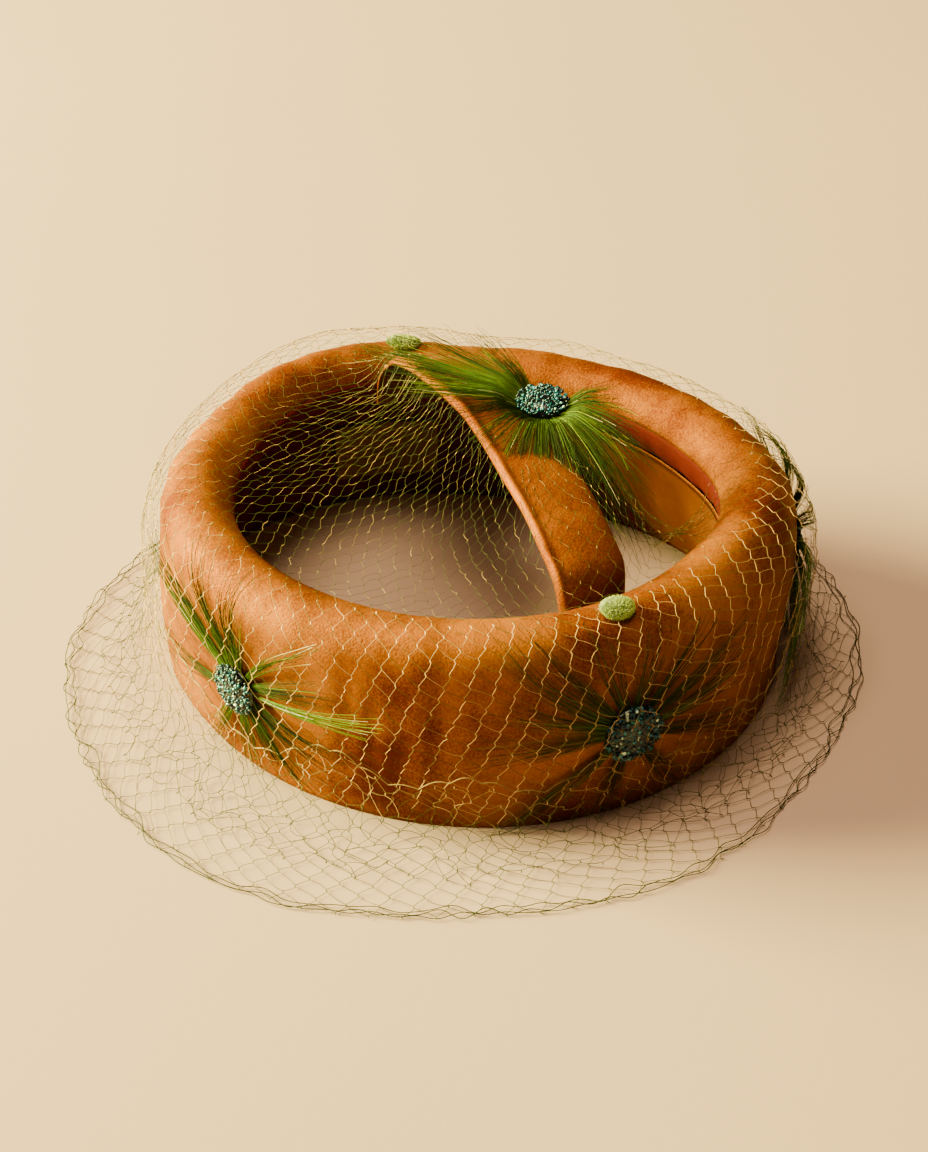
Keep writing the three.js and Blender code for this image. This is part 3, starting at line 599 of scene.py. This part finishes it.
def strap_caps(steps, sides):
    """Faces across both ends of the strap."""
    caps = []
    for base in (0, (steps - 1) * sides):
        for k in range(1, sides // 2 - 1):
            caps.append([base + k, base + k + 1, base + sides - k - 1, base + sides - k])
    return np.array(caps)


def strap():
    steps, sides = 160, 64
    share = np.linspace(0, 1, steps)
    middle, _, across, up, half, bow = strap_frame(share)
    x, lift, height = strap_section(sides)
    folds, bank = strap_form(share[:, None], x[None, :], (lift > 0)[None, :])
    rise = height + folds + bow[:, None] * (1 - x[None, :] ** 2) + bank
    aside = half[:, None] * x[None, :]
    points = middle[:, None] + across[:, None] * aside[..., None] + up[:, None] * rise[..., None]
    caps = strap_caps(steps, sides)
    faces = np.concatenate([grid_faces(steps, sides, close_columns=True), caps])
    under = np.concatenate([np.tile(lift < -0.25, steps - 1), np.zeros(len(caps), bool)])
    obj = add_mesh("strap_satin", points, faces, STRAP_SATIN, second=(UNDERSIDE, under))
    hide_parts("strap")


# Seat of the strap's button: share of the way to the back, and to the side as a share of half the width
TOP_SHARE, TOP_SIDE = 0.55, 0.78


def top_seat():
    middle, _, across, up, half, _ = (v[0] for v in strap_frame(np.array([TOP_SHARE])))
    return middle + across * half * TOP_SIDE + up * STRAP_THICKNESS / 2


# Net


COVER_FIRST, COVER_LAST = 100, 372  # the angles between which net lies over the opening
NET_DIAMONDS = 82
FOLD_COLUMNS = 124  # half diamonds round the second layer
SKIRT_ROWS, COVER_ROWS, FOLD_ROWS = 26, 30, 9
NET_PITCH = 3.9  # height of half a diamond
NET_SHEAR = 0.55  # how far each half row is pulled round, in half diamonds
THREAD = 0.088  # radius
KNOT = 0.5  # half the length of a knot
STRAP_CLEARANCE = 1.0  # between the strap and the net over it
# Line on which the net gathers: down the strap's left side, over the strap in front of its button, and to a
# knot at the right of the band. side and along are shares of OPENING_RADIUS, rise of STRAP_RISE.
GATHER = {
    "angle": [100, 125, 155, 185, 212, 236, 256, 274, 292, 308, 322, 336, 350, 372],
    "side": [
        -0.343, -0.214, -0.121, -0.071, -0.029, 0.05, 0.157,
        0.257, 0.357, 0.471, 0.6, 0.743, 0.814, 0.857,
    ],
    "along": [
        0.814, 0.714, 0.6, 0.471, 0.286, 0.1, 0.043,
        0.071, 0.114, 0.129, -0.114, -0.386, -0.486, -0.471,
    ],
    "rise": [0.27, 0.82, 1.05, 1.14, 1.18, 1.18, 1.23, 1.27, 1.27, 1.14, 0.64, 0.18, 0.09, 0.05],
}


def clear_of_strap(points):
    """The same points, raised where they would lie in the strap."""
    shape = points.shape
    flat = points.reshape(-1, 3)
    middle, forward, across, up, half, bow = strap_frame(np.linspace(0.03, 0.97, 95))
    away = flat[:, None] - middle[None]
    along = np.abs(np.sum(away * forward[None], axis=-1))
    nearest = np.argmin(along + 0.05 * np.linalg.norm(away, axis=-1), axis=1)
    pick = np.arange(len(flat)), nearest
    side = np.abs(np.sum(away[pick] * across[nearest], axis=-1)) / half[nearest]
    rise = np.sum(away[pick] * up[nearest], axis=-1)
    short = np.maximum(STRAP_THICKNESS / 2 + STRAP_CLEARANCE + bow[nearest] - rise, 0) * (along[pick] < 4)
    near = 1 - smooth(side, 1.02, 1.3)
    return (flat + up[nearest] * (short * near)[:, None]).reshape(shape)


def gather_point(angle):
    at = np.interp(angle, GATHER["angle"], np.linspace(0, 1, len(GATHER["angle"])))
    side, along, rise = (spread(GATHER[name], at) for name in ("side", "along", "rise"))
    return stack(OPENING_RADIUS * side, OPENING_RADIUS * along, BAND_HEIGHT + STRAP_RISE * rise)


def skirt_controls(angle):
    """Rows from the roll's crest down the wall and out over the floor."""
    lift = around(NET["lift"], angle)
    off = around(NET["off"], angle)
    reach = NET_REACH * around(NET["reach"], angle)
    height = band_height(angle)
    lean = np.maximum(roll_lean(angle), 0)
    rows = []
    for turn, share in ((90, 0), (62, 0.05), (36, 0.3), (12, 0.7)):
        out, z = roll_point(angle, turn, lerp(lift, off, share))
        rows.append(band_point(angle, out, z))
    for share, more in ((0.62, 1.0), (0.42, 1.0), (0.24, 1.1), (0.1, 1.45)):
        rows.append(band_point(angle, lean + off * more, height * share))
    near = lean + np.minimum(off * 2.4, reach * 0.5)
    rows.append(band_point(angle, near, 1.4))
    for share in (0.35, 0.68, 1.0):
        rows.append(band_point(angle, lerp(near, reach, share), 0.7))
    return np.stack(rows, axis=1)


def cover_controls(angle):
    """Rows from the roll's crest over the opening to the line on which the net gathers."""
    lift = around(NET["lift"], angle)
    start = gather_point(angle)
    out, z = roll_point(angle, 128, lift + 0.5)
    end = band_point(angle, out, z)
    hang, rise = -6.5, 3.0
    front_right = np.exp(-(((angle - 302) / 24) ** 2))
    sag = lerp(hang, rise, front_right) * smooth(np.linalg.norm(end - start, axis=-1), 15, 60)
    rows = []
    for share in np.linspace(0, 1, 7):
        point = lerp(start, end, share)
        point[:, 2] += sag * 4 * share * (1 - share)
        rows.append(point)
    out, z = roll_point(angle, 108, lift)
    rows.append(band_point(angle, out, z))
    out, z = roll_point(angle, 90, lift)
    rows.append(band_point(angle, out, z))
    return np.stack(rows[::-1], axis=1)


def fold_controls(angle):
    """Second layer: from the flange back to the wall's foot and a little way up it."""
    off = around(NET["off"], angle)
    reach = NET_REACH * around(NET["reach"], angle)
    lean = np.maximum(roll_lean(angle), 0)
    rows = [
        (lean + reach * 0.62, 1.6),
        (lean + reach * 0.4, 2.2),
        (lean + np.minimum(off * 1.9, reach * 0.4), 3.0),
        (lean + off * 0.9, 8),
        (lean + off * 0.55, fold_rise(angle)),
    ]
    return np.stack([band_point(angle, out, z) for out, z in rows], axis=1)


def resample(controls, rows, pitch=None):
    """Points along smooth curves through the controls, and which of them count.

    There are rows of them to a curve, or one every pitch until the curve ends."""
    count = controls.shape[1]
    finer = 8
    x = np.linspace(0, count - 1, (count - 1) * finer + 1)
    i = np.minimum(np.floor(x).astype(int), count - 2)
    t = (x - i)[None, :, None]
    a, b, c, d = (controls[:, np.clip(i + k, 0, count - 1)] for k in (-1, 0, 1, 2))
    fine = 0.5 * (2 * b + (c - a) * t + (2 * a - 5 * b + 4 * c - d) * t**2 + (3 * b - a - 3 * c + d) * t**3)
    steps = np.linalg.norm(np.diff(fine, axis=1), axis=-1)
    lengths = np.concatenate([np.zeros((len(fine), 1)), np.cumsum(steps, axis=1)], axis=1)
    points = np.empty((len(fine), rows + 1, 3))
    kept = np.ones((len(fine), rows + 1), bool)
    for k in range(len(fine)):
        end = lengths[k, -1]
        wanted = np.linspace(0, end, rows + 1) if pitch is None else np.arange(rows + 1) * pitch
        kept[k] = wanted < end + (pitch or 1)
        for axis in range(3):
            points[k, :, axis] = np.interp(wanted, lengths[k], fine[k, :, axis])
    return points, kept


def net_threads(surface, kept, rng, whole, wander):
    """Ends of the threads of diamond net over surface, an array of half column, half row and x y z.

    whole says that the net goes all round, wander is how far its knots stray in mm. Returns the threads
    that fall to the left, those that fall to the right, and the short doubled knots."""
    columns, rows, _ = surface.shape
    down = unit(np.gradient(surface, axis=1))
    joggle = rng.normal(0, wander, surface.shape) * np.array([1, 1, 0.4])
    tops = surface + joggle - down * KNOT
    bottoms = surface + joggle + down * KNOT
    left, right, knots = [], [], []
    for c in range(columns):
        for r in range(rows):
            if (c + r) % 2 or not kept[c, r]:
                continue
            knots.append((tops[c, r], bottoms[c, r]))
            for step, sides in ((-1, left), (1, right)):
                other = (c + step) % columns if whole else c + step
                if r + 1 < rows and 0 <= other < columns and kept[other, r + 1]:
                    sides.append((bottoms[c, r], tops[other, r + 1]))
    return np.array(left), np.array(right), np.array(knots)


def thread_groups(ends, rng, slack, radius=THREAD, tone=0.0):
    """Groups of paths with their radius and shade: the left threads are the thicker ones, and a painted
    highlight shades them and the knots lighter than the right threads.
    """
    left, right, knots = ends
    return [
        # Painted highlight: the same yarn is shaded lighter in the left threads and the knots than in the
        # right ones.
        (bent(left, rng, 4, slack), radius * 1.1, 0.82 + tone),
        (bent(right, rng, 4, slack), radius * 0.9, 0.58 + tone),
        (bent(knots, rng, 2, 0), radius * 1.9, 0.86 + tone),
    ]


def bent(ends, rng, points, slack):
    """Paths between pairs of ends, each with a little sideways slack."""
    share = np.linspace(0, 1, points)[None, :, None]
    start, end = ends[:, None, 0], ends[:, None, 1]
    length = np.linalg.norm(end - start, axis=-1, keepdims=True)
    push = rng.normal(0, slack, (len(ends), 1, 3)) * np.minimum(length / 5, 1.5)
    return start + (end - start) * share + push * 4 * share * (1 - share)


def net_piece(name, groups, rng):
    """One piece of threads from groups of paths, their radius and their mean shade, with painted light: the
    same thread is shaded lighter up the wall and darker near the floor.
    """
    parts = []
    for paths, radius, tone in groups:
        points, faces = tubes(paths, radius)
        # Painted light: threads up the wall are shaded lighter than those near the floor.
        on_wall = smooth(paths[..., 2].mean(axis=1, keepdims=True), 2, 12)
        shade = np.clip(rng.normal(tone, 0.15, (len(paths), 1)) * lerp(0.46, 1, on_wall), 0, 1)
        parts.append((points, faces, np.repeat(shade, len(points) // len(paths))))
    points, faces, shade = joined(parts)
    obj = add_mesh(name, points, faces, NET_THREAD, shade)
    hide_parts("veil")


def sheared(surface, shear):
    """The same closed surface with each row pulled round by shear more half columns than the one above."""
    columns, rows, _ = surface.shape
    at = np.arange(columns)[:, None] + shear * np.arange(rows)[None]
    low = np.floor(at).astype(int)
    row = np.arange(rows)[None]
    return lerp(surface[low % columns, row], surface[(low + 1) % columns, row], (at - low)[..., None])


def net_waves(angle, rows, seed, turns, climb):
    """Waves in a net of so many rows, ready to be scaled in x, y and z."""
    row_height = 4.0
    return waves(angle[:, None], np.arange(rows + 1)[None] * row_height, seed, turns, climb)[..., None]


def veil_skirt(angle, rng):
    skirt, kept = resample(skirt_controls(angle), SKIRT_ROWS)
    wobble = net_waves(angle, SKIRT_ROWS, 62, (3, 14), 0.12)
    skirt = sheared(skirt + wobble * np.array([0.5, 0.5, 0.0]), NET_SHEAR)
    ends = net_threads(skirt, kept, rng, whole=True, wander=0.24)
    net_piece("veil_skirt", thread_groups(ends, rng, slack=0.2), rng)


def veil_cover(angle, rng):
    cover, kept = resample(cover_controls(angle), COVER_ROWS, NET_PITCH)
    drift = net_waves(angle, COVER_ROWS, 63, (4, 18), 0.12)
    fade = np.sin(math.pi * np.minimum(np.arange(COVER_ROWS + 1) / 8, 0.5))[None, :, None]
    cover = clear_of_strap(cover + drift * fade * np.array([0.8, 0.8, 0.6]))
    ends = net_threads(cover, kept, rng, whole=False, wander=0.32)
    # The threads over the opening take a darker tone as painted shade, since the opening lies in shadow.
    net_piece("veil_cover", thread_groups(ends, rng, slack=0.3, radius=THREAD * 0.62, tone=-0.34), rng)


def veil_fold(angle, rng):
    fold, kept = resample(fold_controls(angle), FOLD_ROWS)
    fold += net_waves(angle, FOLD_ROWS, 64, (5, 25), 0.2) * 1.2 * np.array([1, 1, 0.2])
    ends = net_threads(fold, kept, rng, whole=True, wander=0.8)
    groups = thread_groups(ends, rng, slack=0.6, radius=THREAD * 1.15)
    groups.append((edge_threads(), THREAD * 1.8, 0.3))
    groups.append((scallops(), THREAD * 2.6, 0.78))
    net_piece("veil_fold", groups, rng)


def veil():
    rng = np.random.default_rng(61)
    every = np.arange(2 * NET_DIAMONDS) * (180 / NET_DIAMONDS) + COVER_FIRST
    veil_skirt(every, rng)
    veil_cover(every[every <= COVER_LAST], rng)
    veil_fold(np.arange(0, 360, 360 / FOLD_COLUMNS), rng)


def fold_rise(angle):
    """Height of the second layer's free edge."""
    return 17 + 3 * waves(angle, 0, 51, (3, 14), 0)


def scallops():
    """The free edge of the second layer, which stands against the wall."""
    count, height = 62, 1.6
    angle = np.linspace(0, 360, 1500)
    off = around(NET["off"], angle) * 0.55 + np.maximum(roll_lean(angle), 0)
    rise = height * np.abs(np.sin(np.radians(angle * (count // 2))))
    return band_point(angle, off, fold_rise(angle) + rise)[None]


def edge_threads():
    """Threads that run round the flange near its edge."""
    angle = np.linspace(0, 360, 900)
    reach = NET_REACH * around(NET["reach"], angle)
    threads = []
    for inset, seed in ((0.2, 71), (0.9, 72), (2.6, 73)):
        wave = 0.7 * waves(angle, 0, seed, (20, 70), 0)
        threads.append(band_point(angle, reach - inset + wave, 0.9))
    return np.array(threads)


# Feathers, buttons and dots


# Plumes of each tuft: direction in degrees, length as a share of LOCK_LENGTH, how far the tip curls to the
# side as a share of the length, half width in mm, and tone: below 0 darker, above 0 with paler tips
LEFT_LOCKS = [
    (136, 1.12, 0.28, 3.2, -0.05),
    (150, 1.06, 0.1, 2.6, 0.1),
    (118, 0.96, 0.12, 3.4, -0.1),
    (100, 0.83, -0.05, 3.0, -0.15),
    (82, 0.56, 0.1, 2.5, 0.0),
    (54, 0.86, -0.16, 2.6, 0.06),
    (28, 0.82, -0.1, 2.6, -0.15),
    (7, 1.08, 0.02, 1.6, 0.26),
    (-24, 0.86, 0.12, 4.0, -0.3),
    (-50, 0.83, 0.1, 4.5, -0.12),
    (-78, 0.69, 0.02, 3.4, 0.0),
    (-112, 0.69, -0.1, 2.6, 0.0),
    (-160, 0.81, -0.2, 2.0, -0.1),
]
RIGHT_LOCKS = [
    (146, 1.25, -0.1, 3.2, 0.0),
    (128, 1.06, 0.06, 3.0, -0.1),
    (104, 0.81, 0.05, 4.0, -0.1),
    (72, 0.74, 0.05, 4.0, -0.1),
    (48, 0.90, -0.05, 3.4, -0.1),
    (24, 1.10, -0.04, 3.2, -0.05),
    (4, 1.08, 0.05, 3.6, 0.0),
    (-18, 1.01, 0.0, 3.0, -0.1),
    (-60, 0.74, 0.05, 3.0, -0.1),
    (-112, 0.67, 0.0, 3.0, -0.1),
    (-146, 1.18, 0.05, 3.2, 0.0),
    (176, 1.06, 0.08, 3.6, -0.1),
    (160, 1.06, 0.0, 3.4, 0.0),
]
# The side tuft lies in shade; its raised tones give paler tips, which is painted light.
SIDE_LOCKS = [
    (204, 1.21, 0.1, 3.0, 0.2),
    (184, 0.99, 0.0, 3.0, 0.15),
    (160, 0.94, 0.05, 3.0, 0.15),
    (130, 0.86, 0.1, 3.0, 0.1),
    (104, 0.78, 0.05, 2.6, 0.1),
    (80, 0.76, -0.05, 2.6, 0.1),
    (48, 0.8, -0.1, 3.0, 0.1),
    (10, 0.83, 0.05, 3.0, 0.15),
    (-32, 0.77, 0.0, 3.0, 0.15),
    (-68, 0.77, 0.0, 3.0, 0.15),
    (-104, 0.86, 0.05, 3.0, 0.15),
    (-134, 0.88, 0.1, 3.0, 0.2),
]
TOP_LOCKS = [
    (150, 1.48, 0.06, 4.5, 0.05),
    (161, 1.35, -0.04, 4.0, 0.0),
    (136, 1.15, 0.1, 4.4, -0.05),
    (172, 0.99, 0.02, 3.4, 0.2),
    (186, 0.88, -0.08, 3.4, 0.1),
    (206, 0.69, 0.0, 4.5, 0.0),
    (228, 0.73, 0.03, 4.5, 0.0),
    (250, 0.83, 0.0, 4.2, 0.0),
    (268, 1.06, 0.02, 3.8, 0.0),
    (284, 1.02, 0.0, 4.4, -0.1),
    (297, 1.2, 0.06, 4.4, -0.05),
    (309, 1.3, -0.03, 4.4, -0.05),
    (322, 0.94, -0.06, 4.0, 0.0),
    (338, 0.7, -0.1, 3.6, -0.05),
    (354, 0.5, 0.0, 3.0, 0.0),
    (124, 0.72, 0.1, 4.0, -0.1),
]
LOCK_LENGTH = 40
BARB_STEPS = 10  # points along a barb
BARB_ROOT = 2.5  # where it starts, from the tuft's middle
# Seats of the other tufts and their buttons: angle round the band, and length up its face in mm
LEFT_SEAT = 222, 30
RIGHT_SEAT = 301, 29
SIDE_SEAT = 8, 33
# Seats of the dots: angle round the band, and turn on the roll in degrees
FRONT_DOT = 302, 84
REAR_DOT = 104, 84
BUTTON_RADIUS = 8.1
BUTTON_BEADS = 280
GOLDEN_ANGLE = 2.399963
DOT_HALF = np.array([5.5, 4.0, 1.5])  # half sizes along the band, across it and off it
DOT_LIFT = 1.3
DOT_FIBRES = 2600


def face_table(angle):
    """Path up the outer face at one angle, as (length, out, z)."""
    widest = float(band_height(angle) - roll_radius(angle))
    z = np.linspace(0, widest, 40, endpoint=False)
    out = wall_out(angle, z)
    roll_out, roll_z = roll_point(angle, np.linspace(0, 150, 50))
    out, z = np.concatenate([out, roll_out]), np.concatenate([z, roll_z])
    length = np.concatenate([[0], np.cumsum(np.hypot(np.diff(out), np.diff(z)))])
    return length, out, z


def wall_seat(angle, height):
    """Places points by distance along the band, up its face and off it."""
    length, face_out, face_z = face_table(angle)
    slope_out, slope_z = np.gradient(face_out, length), np.gradient(face_z, length)
    radius = BAND_RADIUS * float(around(BAND["radius"], angle))

    def place(along, up, off):
        up = np.maximum(height + up, 0.6)
        turned = angle + np.degrees(along / radius)
        out = np.interp(up, length, face_out) + np.interp(up, length, slope_z) * off
        z = np.interp(up, length, face_z) - np.interp(up, length, slope_out) * off
        return band_point(turned, out, z)

    return place


def strap_seat():
    """The seat on the strap, measured from above. Barbs rise off it, stay over the net and droop past it."""
    seat = top_seat()

    def place(along, up, off):
        reach = np.hypot(along, up)
        flight = 3.6 * smooth(reach, 5.5, 15) - 0.0024 * reach**2 + 0.005 * np.maximum(up, 0) ** 2
        flight = flight - 0.011 * np.minimum(up, 0) ** 2
        return seat + stack(along, up, off + flight)

    return place


def plume(lock, count, loft, rng):
    """Barbs of one plume, as distances along, up and off the seat, and their shades."""
    turn, length, curl, wide, tone = lock
    t = np.linspace(0, 1, BARB_STEPS)[None, :]
    reach = LOCK_LENGTH * length
    across = rng.uniform(-1, 1, (count, 1))
    long = reach * np.clip(rng.normal(0.94, 0.2, (count, 1)) - 0.12 * np.abs(across), 0.3, 1.2)
    far = BARB_ROOT + (long - BARB_ROOT) * t
    run = far / reach
    aside = across * wide * run**0.8 * (1.25 - 0.45 * run**2) + rng.normal(0, 2.1, (count, 1)) * run**2
    aside = aside + curl * reach * run**2.2
    turned = math.radians(turn)
    along = far * math.cos(turned) - aside * math.sin(turned)
    up = far * math.sin(turned) + aside * math.cos(turned)
    off = 0.9 + (0.3 + 1.6 * rng.random((count, 1))) * t
    off = off + loft * (0.6 + 0.4 * rng.random((count, 1))) * run**1.6
    pale = rng.random((count, 1)) < 0.04
    shade = 0.66 + min(tone, 0) - 0.5 * run**0.8 + rng.normal(0, 0.13, (count, 1)) + 0.6 * pale * t
    shade = shade + 2.6 * max(tone, 0) * run
    return (along, up, off), np.clip(shade, 0, 1)


def tuft(name, place, locks, seed, node, loft=1.2, count=60):
    """Barbs in plumes: they leave the middle together, spread, and draw in again towards the tip."""
    rng = np.random.default_rng(seed)
    plumes = [plume(lock, count, loft, rng) for lock in locks]
    paths = np.concatenate([place(*barbs) for barbs, _ in plumes])
    shades = np.concatenate([shade for _, shade in plumes])
    points, faces = tubes(paths, 0.11 - 0.05 * np.linspace(0, 1, BARB_STEPS))
    obj = add_mesh(name, points, faces, FEATHER, np.repeat(shades, TUBE_SIDES))
    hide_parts(node)


def button(name, place, size, seed, node):
    """A dome closely set with small beads and tilted sequins."""
    rng = np.random.default_rng(seed)
    radius = BUTTON_RADIUS * size
    count = int(BUTTON_BEADS * size)
    ball_points, ball_faces = ball(5, 8)
    parts = []
    for k in range(count):
        share = math.sqrt((k + 0.5) / count)
        turn = k * GOLDEN_ANGLE + rng.normal(0, 0.15)
        x, y = radius * share * math.cos(turn), radius * share * math.sin(turn)
        rise = 2.1 + 2.6 * math.sqrt(max(1 - share**2 * 0.92, 0)) + rng.normal(0, 0.15)
        is_sequin = rng.random() < 0.35
        local = ball_points * rng.uniform(0.42, 0.62)
        if is_sequin:
            local = local * np.array([1.25, 1.25, 0.22]) @ tilt(rng)
        points = place(x + local[:, 0], y + local[:, 1], rise + local[:, 2])
        glint = rng.random() < 0.05 + 0.25 * (1 - share**2)
        shade = np.clip(rng.beta(1.6, 2.8) + 0.45 * glint, 0, 1)
        parts.append((points, ball_faces, np.full(len(points), shade)))
    core, core_faces = ball(12, 20)
    core = core * np.array([radius * 0.94, radius * 0.94, 3.4])
    points = place(core[:, 0], core[:, 1], 1.6 + np.maximum(core[:, 2], -0.4))
    parts.append((points, core_faces, np.zeros(len(points))))
    points, faces, shade = joined(parts)
    obj = add_mesh(name, points, faces, BEADS, shade)
    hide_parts(node)


def ball(rows, columns):
    """Unit ball as a grid, with its poles drawn to near points."""
    lat = np.linspace(-0.499, 0.499, rows)[:, None] * math.pi
    lon = np.linspace(0, 2 * math.pi, columns, endpoint=False)[None, :]
    points = stack(np.cos(lat) * np.cos(lon), np.cos(lat) * np.sin(lon), np.sin(lat) + 0 * lon).reshape(-1, 3)
    return points, grid_faces(rows, columns, close_columns=True)[:, ::-1]


def tilt(rng):
    """A turn by any angle and a lean by a small one."""
    lean, turn = rng.normal(0, 0.45), rng.uniform(0, 2 * math.pi)
    c, s = math.cos(lean), math.sin(lean)
    a, b = math.cos(turn), math.sin(turn)
    return np.array([[1, 0, 0], [0, c, -s], [0, s, c]]) @ np.array([[a, -b, 0], [b, a, 0], [0, 0, 1]])


def dot(name, seat, seed, node):
    """Chenille: short fibres standing all over an oval cushion."""
    rng = np.random.default_rng(seed)
    angle, turn = seat
    inner_radius = BAND_RADIUS * float(around(BAND["radius"], angle)) - ROLL_RADIUS

    def place(along, across, off):
        at = angle + np.degrees(along / inner_radius)
        out, z = roll_point(at, turn + np.degrees(across / ROLL_RADIUS), DOT_LIFT + off)
        return band_point(at, out, z)

    core, core_faces = ball(14, 24)
    core = core * DOT_HALF * 0.86
    body = place(core[:, 0], core[:, 1], core[:, 2])
    lat, lon = np.arcsin(rng.uniform(-0.5, 1, DOT_FIBRES)), rng.uniform(0, 2 * math.pi, DOT_FIBRES)
    normal = np.stack([np.cos(lat) * np.cos(lon), np.cos(lat) * np.sin(lon), np.sin(lat)], axis=-1)
    root = normal * DOT_HALF * 0.84
    aim = unit(normal + rng.normal(0, 0.4, normal.shape))
    long = rng.uniform(0.4, 1.0, (DOT_FIBRES, 1))
    radii = np.array([0.11, 0.09, 0.05])
    t = np.linspace(0, 1, len(radii))[None, :, None]
    line = root[:, None] + aim[:, None] * long[:, None] * t
    fibres, fibre_faces = tubes(place(line[..., 0], line[..., 1], line[..., 2]), radii)
    shade = np.repeat(np.clip(rng.normal(0.5, 0.35, DOT_FIBRES), 0, 1), len(radii) * TUBE_SIDES)
    # The cushion takes the darkest shade: painted shade in the gaps between the fibres.
    parts = [(body, core_faces, np.zeros(len(body))), (fibres, fibre_faces, shade)]
    points, faces, shade = joined(parts)
    obj = add_mesh(name, points, faces, CHENILLE, shade)
    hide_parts(node)


def trims():
    left, right, side = wall_seat(*LEFT_SEAT), wall_seat(*RIGHT_SEAT), wall_seat(*SIDE_SEAT)
    top = strap_seat()
    tuft("left_feathers", left, LEFT_LOCKS, 101, "left_tuft", count=42)
    tuft("right_feathers", right, RIGHT_LOCKS, 102, "right_tuft", count=32)
    tuft("side_feathers", side, SIDE_LOCKS, 103, "side_tuft", loft=3.5)
    tuft("strap_feathers", top, TOP_LOCKS, 104, "strap_tuft", loft=5)
    button("left_beads", left, 1.0, 111, "left_button")
    button("right_beads", right, 1.13, 112, "right_button")
    button("side_beads", side, 1.0, 113, "side_button")
    button("strap_beads", top, 1.0, 114, "strap_button")
    dot("front_chenille", FRONT_DOT, 121, "front_dot")
    dot("rear_chenille", REAR_DOT, 122, "rear_dot")


# Stage


def floor():
    bpy.ops.mesh.primitive_plane_add(size=12)
    ground = bpy.context.object
    ground.name = "floor"
    material, tree, shader = new_material("paper floor")
    shades = [(0.3, (170, 142, 128)), (0.7, (174, 146, 132))]
    tree.links.new(ramp(tree, noise(tree, 3, 2), shades), shader.inputs["Base Color"])
    shader.inputs["Roughness"].default_value = 0.9
    tree.links.new(bump(tree, noise(tree, 260, 4), 0.08, 0.0006), shader.inputs["Normal"])
    ground.data.materials.append(material)


def area_light(name, place, size, power, colour):
    """A square lamp that faces the hat. Its place and size are in metres."""
    aim = Vector((0, 0, 0.03))
    data = bpy.data.lights.new(name, "AREA")
    data.size = size
    data.energy = power
    data.color = colour
    lamp = bpy.data.objects.new(name, data)
    bpy.context.scene.collection.objects.link(lamp)
    lamp.location = place
    lamp.rotation_euler = (aim - Vector(place)).to_track_quat("-Z", "Y").to_euler()


def lights():
    area_light("key", (-1.7, 0.36, 0.67), 0.95, 465, (1.0, 0.95, 0.32))
    area_light("overhead", (-0.3, 0.1, 1.8), 1.0, 52, (1.0, 0.77, 0.44))
    world = bpy.data.worlds.new("studio")
    world.use_nodes = True
    set_inputs(world.node_tree.nodes["Background"], {"Color": (1.0, 0.68, 0.36, 1), "Strength": 0.13})
    bpy.context.scene.world = world


def camera():
    """The photograph's view: 36 degrees above the floor, 0.9 m away."""
    elevation = math.radians(36)
    distance = 900
    photo_height = 1152  # pixels, as are the two shifts
    shift_right, shift_up = 2, 24
    target = np.array([0, 0, 35.0]) + SHIFT
    place = target + distance * np.array([0, -math.cos(elevation), math.sin(elevation)])
    data = bpy.data.cameras.new("camera")
    data.sensor_width = 36
    data.lens = 90.6
    data.shift_x = -shift_right / photo_height
    data.shift_y = -shift_up / photo_height
    data.clip_start = 0.01
    view = bpy.data.objects.new("camera", data)
    bpy.context.scene.collection.objects.link(view)
    view.location = place / 1000
    view.rotation_euler = (math.pi / 2 - elevation, 0, 0)
    bpy.context.scene.camera = view


crown()
lining()
label()
facing()
strap()
veil()
trims()
floor()
lights()
camera()
